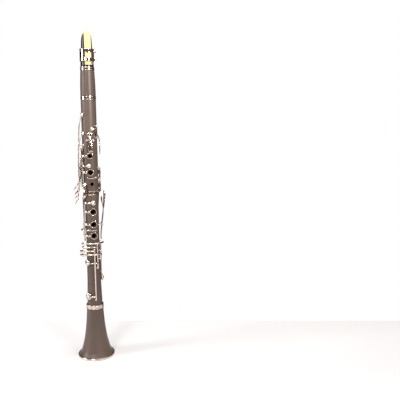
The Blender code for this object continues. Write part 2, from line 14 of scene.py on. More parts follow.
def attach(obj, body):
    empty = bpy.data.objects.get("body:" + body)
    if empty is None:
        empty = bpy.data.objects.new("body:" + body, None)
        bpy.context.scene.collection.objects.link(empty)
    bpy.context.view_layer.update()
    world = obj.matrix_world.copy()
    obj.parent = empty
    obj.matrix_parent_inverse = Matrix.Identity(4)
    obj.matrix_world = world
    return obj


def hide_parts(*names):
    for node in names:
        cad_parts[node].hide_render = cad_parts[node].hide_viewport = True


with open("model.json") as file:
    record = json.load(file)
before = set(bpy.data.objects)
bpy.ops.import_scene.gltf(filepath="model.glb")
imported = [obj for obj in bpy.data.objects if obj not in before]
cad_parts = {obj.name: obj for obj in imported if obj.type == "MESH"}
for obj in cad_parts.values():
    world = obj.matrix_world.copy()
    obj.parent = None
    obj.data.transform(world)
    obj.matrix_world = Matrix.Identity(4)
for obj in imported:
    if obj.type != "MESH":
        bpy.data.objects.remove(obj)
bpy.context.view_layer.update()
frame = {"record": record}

MM = 0.001
TIP = 668.0
BARREL_TOP = 600.2
BARREL_BOTTOM = 536.3
MIDDLE = 354.3
BELL_TOP = 113.4
GAP = 0.3
BORE = 7.5
TENON = 10.6
SOCKET = 11.7
UPPER_RADIUS = 15.0
RIM = 38.2
LOWER_OUTLINE = [(345.0, 15.4), (340.0, 15.3), (322.0, 13.8), (250.0, 13.3), (165.0, 13.9),
                 (122.0, 15.4), (113.7, 15.5)]
MOUTH_TWIST = 8.0
LEFT_HAND = -6.0
RIGHT_HAND = 5.0
THUMB_HOLE = 432.0
REGISTER_HOLE = 498.0
TUBE = 1.6
CUP_HEIGHT = 2.8
RING_THICKNESS = 1.3

TWIST = Matrix.Rotation(math.radians(MOUTH_TWIST), 4, "Z")
ALONG_X = Matrix.Rotation(math.radians(90), 4, "Y")
ALONG_Y = Matrix.Rotation(math.radians(-90), 4, "X")
HERE = Matrix.Identity(4)

# The table top, in metres, and how far round from straight ahead the camera looks, in degrees.
CAMERA_TURN = 15.2
TABLE_TONE = 0.80
TABLE_TONE_SPREAD = 0.02
TABLE_BEHIND = 0.186
TABLE_DEPTH = 2.0
TABLE_HALF_WIDTH = 1.5

PIECES = bpy.data.collections.new("finished")
bpy.context.scene.collection.children.link(PIECES)


# ---- Places -----------------------------------------------------------------------------------

def outward(azimuth):
    a = math.radians(azimuth)
    return Vector((math.sin(a), -math.cos(a), 0.0))


def point(azimuth, radius, height):
    return outward(azimuth) * radius * MM + Vector((0.0, 0.0, height * MM))


def seat(azimuth, radius, height):
    """A frame on the body: X runs round it, Y runs up it and Z points straight out of it."""
    out = outward(azimuth)
    up = Vector((0.0, 0.0, 1.0))
    around = up.cross(out)
    place = Matrix((around, up, out)).transposed().to_4x4()
    place.translation = point(azimuth, radius, height)
    return place


def shift(x, y, z):
    return Matrix.Translation((x * MM, y * MM, z * MM))


def surface(height):
    if height > MIDDLE:
        return UPPER_RADIUS
    for (top, r_top), (low, r_low) in zip(LOWER_OUTLINE, LOWER_OUTLINE[1:]):
        if low <= height <= top:
            return r_low + (r_top - r_low) * (height - low) / (top - low)
    return LOWER_OUTLINE[0][1]


# ---- Shapes: each adds closed surfaces to a bmesh ---------------------------------------------

def soften(outline, radius, closed, steps=4):
    """The outline with each corner rounded off by an arc."""
    count = len(outline)
    softened = []
    for index, here in enumerate(outline):
        if not closed and index in (0, count - 1):
            softened.append(here)
            continue
        before = Vector(outline[index - 1]) - Vector(here)
        after = Vector(outline[(index + 1) % count]) - Vector(here)
        if before.length < 1e-6 or after.length < 1e-6:
            continue
        angle = before.angle(after)
        if angle > math.radians(172):
            softened.append(here)
            continue
        cut = min(radius / math.tan(angle / 2), 0.45 * before.length, 0.45 * after.length)
        start = Vector(here) + before.normalized() * cut
        end = Vector(here) + after.normalized() * cut
        for step in range(steps + 1):
            t = step / steps
            knot = start * (1 - t) ** 2 + Vector(here) * 2 * t * (1 - t) + end * t ** 2
            softened.append((knot.x, knot.y))
    return softened


def lathe(bm, outline, place=HERE, sides=48, closed=False, corner=0.0):
    """An outline of (radius, height) points, turned about the frame's Z."""
    if corner:
        outline = soften(outline, corner, closed)
    loops = []
    for radius, height in outline:
        if radius < 1e-6:
            loops.append([bm.verts.new(place @ Vector((0, 0, height * MM)))])
            continue
        loop = []
        for step in range(sides):
            a = 2 * math.pi * step / sides
            spot = Vector((radius * math.cos(a), radius * math.sin(a), height)) * MM
            loop.append(bm.verts.new(place @ spot))
        loops.append(loop)
    pairs = list(zip(loops, loops[1:]))
    if closed:
        pairs.append((loops[-1], loops[0]))
    for high, low in pairs:
        for step in range(sides):
            after = (step + 1) % sides
            if len(high) == 1 and len(low) == 1:
                continue
            if len(high) == 1:
                bm.faces.new((high[0], low[step], low[after]))
            elif len(low) == 1:
                bm.faces.new((high[step], low[0], high[after]))
            else:
                bm.faces.new((high[step], low[step], low[after], high[after]))


def spline_through(places, per_span=6):
    """A smooth line through (azimuth, radius, height) places, kept round the body."""
    padded = [places[0], *places, places[-1]]
    line = []
    for index in range(1, len(padded) - 2):
        p0, p1, p2, p3 = padded[index - 1:index + 3]
        for step in range(per_span):
            t = step / per_span
            knot = [0.5 * (2 * b + (c - a) * t + (2 * a - 5 * b + 4 * c - d) * t * t
                           + (3 * b - a - 3 * c + d) * t ** 3)
                    for a, b, c, d in zip(p0, p1, p2, p3)]
            line.append(point(*knot))
    line.append(point(*places[-1]))
    return line


def sweep(bm, line, widths, thickness, sides=12, facing=None):
    """A bar with an oval section along a line; widths gives its half width from end to end."""
    count = len(line)
    loops = []
    for index, spot in enumerate(line):
        ahead = (line[min(index + 1, count - 1)] - line[max(index - 1, 0)]).normalized()
        out = Vector((spot.x, spot.y, 0.0)).normalized() if facing is None else facing
        out = (out - ahead * out.dot(ahead))
        if out.length < 1e-6:
            out = ahead.orthogonal()
        out.normalize()
        side = ahead.cross(out)
        t = index / (count - 1)
        half = widths[0] + (widths[1] - widths[0]) * t
        end = min(index, count - 1 - index)
        trim = (0.72, 0.93, 1.0)[min(end, 2)]
        loop = []
        for step in range(sides):
            a = 2 * math.pi * step / sides
            offset = side * math.cos(a) * half * trim + out * math.sin(a) * thickness * trim
            loop.append(bm.verts.new(spot + offset * MM))
        loops.append(loop)
    for low, high in zip(loops, loops[1:]):
        for step in range(sides):
            after = (step + 1) % sides
            bm.faces.new((low[step], low[after], high[after], high[step]))
    bm.faces.new(list(reversed(loops[0])))
    bm.faces.new(loops[-1])


def lens(bm, place, width, length, thickness, taper=0.0, dome=0.5, sides=40, rings=7):
    """A finger plate: an oval, narrower at the top by its taper, thin edged with a domed face."""
    top_loops = []
    for ring_index in range(rings):
        scale = 1 - (ring_index / rings) ** 1.6
        rise = thickness / 2 + dome * (1 - scale ** 2)
        top_loops.append((scale, rise))
    edge = [(0.93, -thickness / 2), (0.985, -thickness / 4), (1.0, 0.0), (0.985, thickness / 3)]
    levels = [*edge, *[(s * 0.955, r) for s, r in top_loops]]
    loops = []
    for scale, height in levels:
        loop = []
        for step in range(sides):
            a = 2 * math.pi * step / sides
            x = math.copysign(abs(math.cos(a)) ** 0.8, math.cos(a)) * width / 2
            y = math.copysign(abs(math.sin(a)) ** 0.8, math.sin(a)) * length / 2
            x *= 1 - taper * (y / length + 0.5)
            loop.append(bm.verts.new(place @ (Vector((x * scale, y * scale, height)) * MM)))
        loops.append(loop)
    for low, high in zip(loops, loops[1:]):
        for step in range(sides):
            after = (step + 1) % sides
            bm.faces.new((low[step], low[after], high[after], high[step]))
    bm.faces.new(list(reversed(loops[0])))
    bm.faces.new(loops[-1])


# ---- Materials --------------------------------------------------------------------------------

class Nodes:
    """A Principled material and the few node chains that give it its detail."""

    def __init__(self, name, colour, roughness, metallic=0.0, **sockets):
        self.made = bpy.data.materials.new(name)
        self.made.use_nodes = True
        self.tree = self.made.node_tree
        self.shader = self.tree.nodes["Principled BSDF"]
        self.shader.inputs["Base Color"].default_value = (*colour, 1.0)
        self.shader.inputs["Roughness"].default_value = roughness
        self.shader.inputs["Metallic"].default_value = metallic
        for socket, value in sockets.items():
            self.shader.inputs[socket.replace("_", " ")].default_value = value
        self.place = self.tree.nodes.new("ShaderNodeTexCoord")

    def link(self, start, end):
        self.tree.links.new(start, end)

    def noise(self, scale, detail=4.0, stretch=(1, 1, 1), roughness=0.5):
        mapping = self.tree.nodes.new("ShaderNodeMapping")
        mapping.inputs["Scale"].default_value = stretch
        texture = self.tree.nodes.new("ShaderNodeTexNoise")
        texture.inputs["Scale"].default_value = scale
        texture.inputs["Detail"].default_value = detail
        texture.inputs["Roughness"].default_value = roughness
        self.link(self.place.outputs["Object"], mapping.inputs["Vector"])
        self.link(mapping.outputs["Vector"], texture.inputs["Vector"])
        return texture.outputs["Fac"]

    def cells(self, scale):
        texture = self.tree.nodes.new("ShaderNodeTexVoronoi")
        texture.inputs["Scale"].default_value = scale
        self.link(self.place.outputs["Object"], texture.inputs["Vector"])
        return texture.outputs["Distance"]

    def ramp(self, value, stops):
        ramp = self.tree.nodes.new("ShaderNodeValToRGB")
        self.link(value, ramp.inputs["Fac"])
        elements = ramp.color_ramp.elements
        while len(elements) < len(stops):
            elements.new(0.5)
        for element, (position, colour) in zip(elements, stops):
            element.position = position
            element.color = (*colour, 1.0)
        return ramp.outputs["Color"]

    def spread(self, value, low, high, start=0.3, end=0.7):
        scale = self.tree.nodes.new("ShaderNodeMapRange")
        scale.inputs["From Min"].default_value = start
        scale.inputs["From Max"].default_value = end
        scale.inputs["To Min"].default_value = low
        scale.inputs["To Max"].default_value = high
        self.link(value, scale.inputs["Value"])
        return scale.outputs["Result"]

    def colour(self, value, stops):
        self.link(self.ramp(value, stops), self.shader.inputs["Base Color"])

    def gloss(self, value, low, high, start=0.3, end=0.7):
        self.link(self.spread(value, low, high, start, end), self.shader.inputs["Roughness"])

    def bump(self, *layers):
        """Each layer is (value, strength, depth in metres)."""
        normal = None
        for value, strength, depth in layers:
            bump = self.tree.nodes.new("ShaderNodeBump")
            bump.inputs["Strength"].default_value = strength
            bump.inputs["Distance"].default_value = depth
            self.link(value, bump.inputs["Height"])
            if normal is not None:
                self.link(normal, bump.inputs["Normal"])
            normal = bump.outputs["Normal"]
        self.link(normal, self.shader.inputs["Normal"])


def body_plastic():
    """Satin black-brown plastic: a fine lengthwise grain, with polish where it is handled."""
    m = Nodes("satin_body", (0.085, 0.062, 0.052), 0.42, Specular_IOR_Level=0.45)
    grain = m.noise(900, 5, (1, 1, 0.05), 0.6)
    speckle = m.noise(2600, 2)
    clouds = m.noise(24, 3, (1, 1, 0.3))
    m.colour(clouds, [(0.3, (0.070, 0.048, 0.039)), (0.7, (0.105, 0.073, 0.057))])
    m.gloss(clouds, 0.36, 0.46)
    m.bump((grain, 0.35, 0.00012), (speckle, 0.25, 0.00006))
    return m.made


def mouthpiece_plastic():
    """Polished black resin with faint scuffs and a slight waviness."""
    m = Nodes("gloss_mouthpiece", (0.012, 0.012, 0.012), 0.12, Specular_IOR_Level=0.35,
              Coat_Weight=0.08, Coat_Roughness=0.05)
    scuffs = m.noise(700, 6, (1, 0.2, 1), 0.7)
    waves = m.noise(60, 2)
    m.gloss(scuffs, 0.07, 0.22, 0.45, 0.75)
    m.colour(scuffs, [(0.5, (0.010, 0.010, 0.010)), (0.85, (0.03, 0.029, 0.028))])
    m.bump((waves, 0.15, 0.0002), (scuffs, 0.12, 0.00003))
    return m.made


def nickel(name, warm=1.0):
    """Polished nickel plate: soft smudges, hairline scratches and a little warm tarnish."""
    m = Nodes(name, (0.60, 0.51, 0.45), 0.12, 1.0)
    smudge = m.noise(140, 5, (1, 1, 1), 0.6)
    hair = m.noise(1500, 2, (1, 0.15, 0.4))
    tarnish = m.noise(45, 3)
    m.colour(tarnish, [(0.25, (0.70, 0.60, 0.535)), (0.6, (0.62, 0.51, 0.44)),
                       (0.85, (0.42, 0.31 * warm, 0.25 * warm))])
    m.gloss(smudge, 0.06, 0.20, 0.35, 0.75)
    m.bump((hair, 0.08, 0.00002), (smudge, 0.06, 0.00005))
    return m.made


def steel():
    """Blued-grey hinge steel, turned, with oil darkened patches."""
    m = Nodes("hinge_steel", (0.6, 0.59, 0.57), 0.28, 1.0)
    turned_marks = m.noise(1800, 2, (1, 1, 3))
    oil = m.noise(90, 4)
    m.colour(oil, [(0.3, (0.70, 0.68, 0.65)), (0.75, (0.42, 0.39, 0.36))])
    m.gloss(oil, 0.18, 0.4)
    m.bump((turned_marks, 0.12, 0.00002))
    return m.made


def cork():
    """Sheet cork: pale cells with dark flecks between them."""
    m = Nodes("joint_cork", (0.6, 0.42, 0.26), 0.85)
    flecks = m.cells(900)
    tone = m.noise(350, 4)
    m.colour(tone, [(0.3, (0.34, 0.20, 0.11)), (0.5, (0.60, 0.42, 0.26)), (0.75, (0.72, 0.55, 0.37))])
    m.bump((flecks, 0.6, 0.0002))
    return m.made


def cane():
    """Reed cane: long pale fibres, with a warmer bark."""
    m = Nodes("reed_cane", (0.87, 0.78, 0.42), 0.5, Subsurface_Weight=0.12,
              Subsurface_Radius=(0.002, 0.0015, 0.0006))
    fibres = m.noise(1100, 5, (1, 1, 0.02), 0.65)
    blotch = m.noise(70, 3, (1, 1, 0.4))
    mixed = m.tree.nodes.new("ShaderNodeMath")
    mixed.operation = "MULTIPLY_ADD"
    mixed.inputs[1].default_value = 0.35
    m.link(blotch, mixed.inputs[0])
    m.link(m.spread(fibres, 0.0, 0.65, 0.3, 0.7), mixed.inputs[2])
    m.colour(mixed.outputs["Value"], [(0.1, (0.46, 0.36, 0.11)), (0.45, (0.66, 0.59, 0.22)),
                                      (0.8, (0.74, 0.69, 0.31))])
    m.gloss(fibres, 0.4, 0.6)
    m.bump((fibres, 0.4, 0.00008))
    return m.made


def pad_skin():
    """Pale bladder skin stretched over felt."""
    m = Nodes("pad_skin", (0.82, 0.72, 0.56), 0.55, Sheen_Weight=0.2, Sheen_Roughness=0.4)
    creases = m.noise(420, 5)
    m.colour(creases, [(0.3, (0.66, 0.53, 0.36)), (0.7, (0.88, 0.80, 0.65))])
    m.bump((creases, 0.4, 0.0001))
    return m.made


def spring_steel():
    """Blue tempered needle springs."""
    m = Nodes("spring_steel", (0.10, 0.13, 0.24), 0.25, 1.0)
    temper = m.noise(300, 2)
    m.colour(temper, [(0.3, (0.05, 0.07, 0.16)), (0.7, (0.20, 0.20, 0.30))])
    return m.made


BODY = body_plastic()
GLOSS = mouthpiece_plastic()
NICKEL = nickel("nickel_keys")
RINGS = nickel("nickel_rings", 0.95)
STEEL = steel()
CORK = cork()
CANE = cane()
SKIN = pad_skin()
SPRING = spring_steel()


# ---- Turning a bmesh into a piece -------------------------------------------------------------

def piece(name, bm, finish, body, replaced=(), angle=38.0):
    bmesh.ops.remove_doubles(bm, verts=bm.verts, dist=1e-7)
    bmesh.ops.recalc_face_normals(bm, faces=bm.faces)
    mesh = bpy.data.meshes.new(name)
    bm.to_mesh(mesh)
    bm.free()
    mesh.materials.append(finish)
    mesh.shade_smooth()
    mesh.set_sharp_from_angle(angle=math.radians(angle))
    made = bpy.data.objects.new(name, mesh)
    PIECES.objects.link(made)
    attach(made, body)
    if replaced:
        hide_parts(*replaced)
    return made


def bored(name, bm, cutters, finish, body, replaced, joined=()):
    """A turned body with solids joined on and holes cut through it."""
    def solid(source):
        bmesh.ops.recalc_face_normals(source, faces=source.faces)
        mesh = bpy.data.meshes.new("solid")
        source.to_mesh(mesh)
        source.free()
        made = bpy.data.objects.new("solid", mesh)
        PIECES.objects.link(made)
        return made

    base = solid(bm)
    tools = [(solid(extra), "UNION") for extra in joined]
    tools += [(solid(cutter), "DIFFERENCE") for cutter in cutters]
    for tool, operation in tools:
        boolean = base.modifiers.new("cut", "BOOLEAN")
        boolean.operation = operation
        boolean.solver = "EXACT"
        boolean.object = tool
    bpy.context.view_layer.update()
    graph = bpy.context.evaluated_depsgraph_get()
    mesh = bpy.data.meshes.new_from_object(base.evaluated_get(graph))
    for spent in [base, *[tool for tool, _ in tools]]:
        bpy.data.objects.remove(spent)
    result = bmesh.new()
    result.from_mesh(mesh)
    bpy.data.meshes.remove(mesh)
    return piece(name, result, finish, body, replaced, 30.0)


# ---- Mouthpiece, reed and ligature ------------------------------------------------------------

TABLE = 8.5
LIGATURE_TOP = 634.7
LIGATURE_BOTTOM = 610.5
LIGATURE_OFFSET = -0.8
SCREW_HEIGHTS = {"upper": 630.9, "lower": 616.2}
SCREW_DEPTH = 16.8


def box(bm, size, place):
    made = bmesh.ops.create_cube(bm, size=MM)
    bmesh.ops.scale(bm, vec=size, verts=made["verts"])
    bmesh.ops.transform(bm, matrix=place, verts=made["verts"])


def solid_box(size, place):
    bm = bmesh.new()
    box(bm, size, place)
    return bm


def solid_lathe(outline, place, sides=48, closed=False):
    bm = bmesh.new()
    lathe(bm, outline, place, sides, closed)
    return bm


def solid_rod(radius, length, place, sides=40):
    half = length / 2
    return solid_lathe([(0, half), (radius, half), (radius, -half), (0, -half)], place, sides)


def make_mouthpiece():
    """The beak slopes down behind the reed; its window opens into the bore."""
    crown = [(10.65 + 2.3 * t - 0.35 * math.sin(math.pi * t), 642 - 37 * t)
             for t in (i / 12 for i in range(13))]
    outline = [(0, TIP), (6.2, TIP), (6.9, TIP - 0.6), (7.9, 665), (8.9, 661.5), (9.6, 657),
               (10.2, 650), *crown, (12.95, 603), (12.9, BARREL_TOP + GAP + 0.4),
               (12.5, BARREL_TOP + GAP), (TENON, BARREL_TOP + GAP), (TENON, 599.4),
               (TENON - 0.4, 599), (TENON - 0.4, 586.5), (TENON, 586), (TENON, 584.9),
               (TENON - 0.4, 584.5), (0, 584.5)]
    bm = bmesh.new()
    lathe(bm, outline, TWIST, 96)
    beak = Matrix.Rotation(math.radians(27.2), 4, "X")
    cuts = [solid_box((40, 20, 84), TWIST @ shift(0, -TABLE - 10, 645)),
            solid_box((60, 60, 90), TWIST @ shift(0, 2.15, 651.1) @ beak @ shift(0, 30, 0)),
            solid_rod(7.4, 52, TWIST @ shift(0, 0, 608), 64),
            solid_box((9.6, 8, 24), TWIST @ shift(0, -5.5, 638)),
            solid_box((9.6, 5, 12), TWIST @ shift(0, -7.3, 655))]
    bored("mouthpiece_fine", bm, cuts, GLOSS, "mouthpiece", ["mouthpiece"])
    cork_sleeve("mouthpiece_cork", 598, 587, "mouthpiece")


def cork_sleeve(node, top, bottom, body):
    bm = bmesh.new()
    lathe(bm, [(11.4, top - 0.6), (11.4, bottom + 0.6), (10.95, bottom), (10.95, top)], HERE, 64,
          True, 0.2)
    piece(node + "_fine", bm, CORK, body, [node])


def make_reed():
    """Flat towards the mouthpiece, crowned across its back, scraped thin towards a round tip."""
    bm = bmesh.new()
    across = 14
    along = 60
    heel = 603.7
    tip = 667.4
    shoulder = 635.5
    rows = []
    for j in range(along + 1):
        z = heel + (tip - heel) * j / along
        t = max(0.0, (z - shoulder) / (tip - shoulder))
        half = 6.0 + 0.42 * j / along
        curl = max(0.0, (z - (tip - 5.0)) / 5.0)
        half *= math.sqrt(max(0.0, 1 - 0.16 * curl ** 3))
        crown = 2.35 * (1 - t) ** 1.25 + 0.16
        crest = 0.75 * (1 - t ** 0.8) + 0.12
        back = []
        front = []
        for i in range(across + 1):
            u = -1 + 2 * i / across
            x = half * u
            drop = 1.2 * curl ** 3 * u * u
            thick = crown + crest * (1 - u * u)
            if z < shoulder and z > shoulder - 1.5:
                thick += 0.12
            back.append(bm.verts.new(TWIST @ (Vector((x, -8.8, z - drop)) * MM)))
            front.append(bm.verts.new(TWIST @ (Vector((x, -8.8 - thick, z - drop)) * MM)))
        rows.append((back, front))
    for (b0, f0), (b1, f1) in zip(rows, rows[1:]):
        for i in range(across):
            bm.faces.new((f0[i], f0[i + 1], f1[i + 1], f1[i]))
            bm.faces.new((b0[i + 1], b0[i], b1[i], b1[i + 1]))
        bm.faces.new((b0[0], f0[0], f1[0], b1[0]))
        bm.faces.new((f0[-1], b0[-1], b1[-1], f1[-1]))
    for back, front in (rows[0], rows[-1]):
        for i in range(across):
            bm.faces.new((back[i], back[i + 1], front[i + 1], front[i]))
    piece("reed_fine", bm, CANE, "mouthpiece", ["reed"])


def make_ligature():
    """A sheet band with two rolled bands, four windows, and lugs for its two screws."""
    centre = TWIST @ shift(0, LIGATURE_OFFSET, 0)
    wall = [(13.8, LIGATURE_TOP - 0.2), (14.15, LIGATURE_TOP - 0.9), (14.15, LIGATURE_TOP - 1.6),
            (13.9, LIGATURE_TOP - 2.2), (14.2, LIGATURE_BOTTOM + 2.2),
            (14.45, LIGATURE_BOTTOM + 1.6), (14.45, LIGATURE_BOTTOM + 0.9),
            (14.25, LIGATURE_BOTTOM + 0.2), (14.0, LIGATURE_BOTTOM), (13.6, LIGATURE_BOTTOM),
            (13.1, LIGATURE_TOP), (13.5, LIGATURE_TOP)]
    bm = bmesh.new()
    lathe(bm, wall, centre, 96, True)
    cuts = [solid_box((2.4, 8, 40), TWIST @ shift(0, 14, 622))]
    lugs = []
    for height in SCREW_HEIGHTS.values():
        for side in (-1, 1):
            lug = solid_lathe([(0, 1.3), (2.3, 1.3), (2.6, 1.0), (2.6, -1.0), (2.3, -1.3),
                               (0, -1.3)],
                              TWIST @ shift(side * 3.4, SCREW_DEPTH, height) @ ALONG_X, 32)
            lugs.append(lug)
            lugs.append(solid_box((2.2, 4.4, 5.0),
                                  TWIST @ shift(side * 3.4, 14.6, height)))
        cuts.append(solid_rod(1.5, 16, TWIST @ shift(0, SCREW_DEPTH, height) @ ALONG_X, 24))
    for azimuth in (-70, -16, 16, 70):
        window = seat(azimuth, 14, 622.8)
        pillar = solid_box((6.4, 5.4, 8), centre @ window)
        cuts.append(pillar)
        for end in (-2.7, 2.7):
            cuts.append(solid_rod(3.2, 8, centre @ window @ shift(0, end, 0), 24))
    bored("ligature_band_fine", bm, cuts, RINGS, "mouthpiece", ["ligature_band"], lugs)
    for name, height in SCREW_HEIGHTS.items():
        node = "ligature_screw_" + name
        axis = TWIST @ shift(0, SCREW_DEPTH, height)
        bm = bmesh.new()
        shank = [(0, 16.0), (1.0, 16.0), (1.25, 15.6), (1.25, 9.6), (1.9, 9.0), (1.9, 6.2),
                 (1.25, 5.6)]
        turns = 22
        for turn in range(turns):
            z = 5.2 - turn * 0.55
            shank += [(1.25, z), (1.02, z - 0.27)]
        shank.append((0, shank[-1][1] - 0.3))
        lathe(bm, shank, axis @ ALONG_X, 24)
        flat = HERE if name == "upper" else ALONG_Y
        paddle = [(0, 0.62), (2.6, 0.68), (3.3, 0.9), (3.8, 0.72), (4.0, 0.3), (4.0, -0.3),
                  (3.8, -0.72), (3.3, -0.9), (2.6, -0.68), (0, -0.62)]
        lathe(bm, paddle, axis @ shift(18.2, 0, 0) @ flat, 48)
        piece(node + "_fine", bm, RINGS, node, [node])


# ---- Body -------------------------------------------------------------------------------------

def metal_ring(node, outline, body, corner=0.35, sides=128):
    bm = bmesh.new()
    lathe(bm, outline, HERE, sides, True, corner)
    piece(node + "_fine", bm, RINGS, body, [node])


def banded(outer, inner, top, bottom):
    """A joint ring with a shallow groove near each end."""
    return [(outer, top), (outer, top - 1.1), (outer - 0.22, top - 1.4), (outer, top - 1.7),
            (outer, bottom + 1.7), (outer - 0.22, bottom + 1.4), (outer, bottom + 1.1),
            (outer, bottom), (inner, bottom), (inner, top)]


def make_barrel():
    ring = 7.0
    bm = bmesh.new()
    waist = [(13.65 + 1.45 * t + 0.35 * math.sin(math.pi * t),
              BARREL_TOP - ring - GAP - 49.3 * t) for t in (i / 16 for i in range(17))]
    wall = [(12.25, BARREL_TOP), (12.25, BARREL_TOP - ring - GAP), *waist,
            (12.25, BARREL_BOTTOM + ring + GAP), (12.25, BARREL_BOTTOM),
            (SOCKET, BARREL_BOTTOM), (SOCKET, 554), (BORE, 554), (BORE, 583.2),
            (SOCKET, 583.2), (SOCKET, BARREL_TOP)]
    lathe(bm, wall, HERE, 128, True, 0.25)
    piece("barrel_fine", bm, BODY, "barrel", ["barrel"])
    metal_ring("barrel_ring_top", banded(13.9, 12.6, BARREL_TOP, BARREL_TOP - ring), "barrel")
    metal_ring("barrel_ring_bottom",
               banded(15.3, 12.6, BARREL_BOTTOM + ring, BARREL_BOTTOM), "barrel")


# Finger holes: azimuth, height, hole radius, rim radius, rise of the rim.
UPPER_HOLES = [(LEFT_HAND, 425.3, 4.1, 4.8, 0.6), (LEFT_HAND, 392.3, 4.8, 5.4, 0.6),
               (3.0, 368.4, 3.9, 6.2, 1.6)]
LOWER_HOLES = [(RIGHT_HAND, height, 5.1, 5.7, 0.6) for height in (311.6, 285.3, 261.9)]


def hole(azimuth, height, radius):
    return solid_rod(radius, 24, seat(azimuth, 16, height), 40)


def rim(azimuth, height, radius, rise, hole_radius):
    """The raised rim of a finger hole, eased at its outer edge."""
    top = surface(height) + rise
    outline = [(0, top), (hole_radius + 0.15, top), (radius - 0.25, top - 0.1),
               (radius, top - 0.4), (radius, top - 5),
               (0, top - 5)]
    return solid_lathe(outline, seat(azimuth, 0, height), 48)


def pad_seat(azimuth, height, radius):
    """A tone hole under a pad: a low crowned seat standing just proud of the body."""
    top = surface(height) + 0.22
    outer = radius - 0.9
    outline = [(0, top), (outer - 0.5, top), (outer, top - 0.35), (outer + 0.2, top - 4),
               (0, top - 4)]
    return solid_lathe(outline, seat(azimuth, 0, height), 40)


def make_upper_joint():
    shoulder = BARREL_BOTTOM - GAP
    foot = MIDDLE + GAP
    bm = bmesh.new()
    wall = [(TENON, 552.8), (TENON, shoulder), (UPPER_RADIUS, shoulder), (UPPER_RADIUS, foot),
            (TENON, foot), (TENON, 337), (BORE, 337), (BORE, 552.8)]
    lathe(bm, soften(wall, 0.5, True), HERE, 128, True)
    joined = []
    cuts = []
    for azimuth, height, radius, edge, rise in UPPER_HOLES:
        joined.append(rim(azimuth, height, edge, rise, radius))
        cuts.append(hole(azimuth, height, radius))
    for azimuth, height, radius in CUPS_UPPER:
        joined.append(pad_seat(azimuth, height, radius))
        cuts.append(hole(azimuth, height, radius * 0.5))
    cuts.append(hole(180, THUMB_HOLE, 5.35))
    cuts.append(hole(180, REGISTER_HOLE, 2.35))
    bored("upper_joint_fine", bm, cuts, BODY, "body", ["upper_joint"], joined)
    cork_sleeve("upper_joint_cork_top", 550, 539, "body")
    cork_sleeve("upper_joint_cork_bottom", 352, 340, "body")


def make_lower_joint():
    neck = 12.9
    outer = []
    steps = 60
    for index in range(steps + 1):
        z = 345.0 - (345.0 - 113.7) * index / steps
        outer.append((surface(z), z))
    wall = [(neck, MIDDLE - GAP), (neck, 345.2), *outer, (TENON, 113.7), (TENON, 92.5),
            (9.0, 92.5), (BORE, 150), (BORE, 335.5), (SOCKET, 335.5), (SOCKET, MIDDLE - GAP)]
    bm = bmesh.new()
    lathe(bm, wall, HERE, 128, True)
    joined = []
    cuts = []
    for azimuth, height, radius, edge, rise in LOWER_HOLES:
        joined.append(rim(azimuth, height, edge, rise, radius))
        cuts.append(hole(azimuth, height, radius))
    for azimuth, height, radius in CUPS_LOWER:
        joined.append(pad_seat(azimuth, height, radius))
        cuts.append(hole(azimuth, height, radius * 0.62))
    bored("lower_joint_fine", bm, cuts, BODY, "body", ["lower_joint"], joined)
    metal_ring("lower_joint_ring", banded(15.7, 13.25, MIDDLE, 345.3), "body")
    cork_sleeve("lower_joint_cork", 111.5, 96, "body")


def make_bell():
    """The bell's flare, turned thin towards the rim."""
    flare = [(17.3, 97), (18.7, 79), (20.0, 66), (21.8, 52), (23.9, 39), (26.8, 26), (31.0, 12),
             (35.7, 4.8)]
    outer = []
    for index in range(len(flare) - 1):
        quad = [flare[max(index - 1, 0)], flare[index], flare[index + 1],
                flare[min(index + 2, len(flare) - 1)]]
        for step in range(5):
            t = step / 5
            outer.append(tuple(0.5 * (2 * b + (c - a) * t + (2 * a - 5 * b + 4 * c - d) * t * t
                                      + (3 * b - a - 3 * c + d) * t ** 3)
                               for a, b, c, d in zip(*quad)))
    wall = [(15.2, BELL_TOP - GAP), (15.2, 104.5), (17.3, 104.5), *outer, (35.7, 4.8),
            (35.7, GAP), (34.2, GAP), (30.0, 8), (24.5, 22), (20.6, 36), (17.6, 50), (15.0, 66),
            (12.6, 80), (11.0, 90.5), (SOCKET, 91.5), (SOCKET, BELL_TOP - GAP)]
    bm = bmesh.new()
    lathe(bm, wall, HERE, 160, True)
    piece("bell_fine", bm, BODY, "bell", ["bell"], 30)
    metal_ring("bell_ring_top", banded(17.7, 15.5, BELL_TOP, 104.8), "bell")
    metal_ring("bell_ring_bottom",
               [(RIM - 1.6, 5.2), (RIM - 0.6, 4.9), (RIM, 4.0), (RIM, 1.0), (RIM - 0.8, 0),
                (36.1, 0), (36.1, 5.2)], "bell", 0.5, 160)


def make_bushings():
    for node, height, inner, outer, top in (("thumb_bushing", THUMB_HOLE, 4.0, 5.0, 16.4),
                                            ("register_tube", REGISTER_HOLE, 1.5, 2.3, 15.0)):
        bm = bmesh.new()
        lathe(bm, [(outer, top), (outer, 8.6), (inner, 8.6), (inner, top)], seat(180, 0, height),
              40, True, 0.25)
        piece(node + "_fine", bm, RINGS, "body", [node])


def make_thumb_rest():
    bm = bmesh.new()
    for y in (-8.5, 8.5):
        lathe(bm, [(0, 1.1), (1.1, 1.0), (1.7, 0.5), (1.9, -0.6), (0, -0.6)],
              seat(180, 15.0, 292 + y), 24)
    lens(bm, seat(180, 14.6, 292), 11, 24, 1.3, 0.0, 0.2)
    line = [point(180, r, z) for r, z in ((14.6, 296), (15.6, 299.6), (18, 301), (22, 301.3),
                                          (26, 301.2), (28, 300.6))]
    sweep(bm, line, (6.2, 5.6), 1.3, 20, Vector((0, 0, 1)))
    piece("thumb_rest_fine", bm, NICKEL, "body", ["thumb_rest"])


# ---- Key work ---------------------------------------------------------------------------------

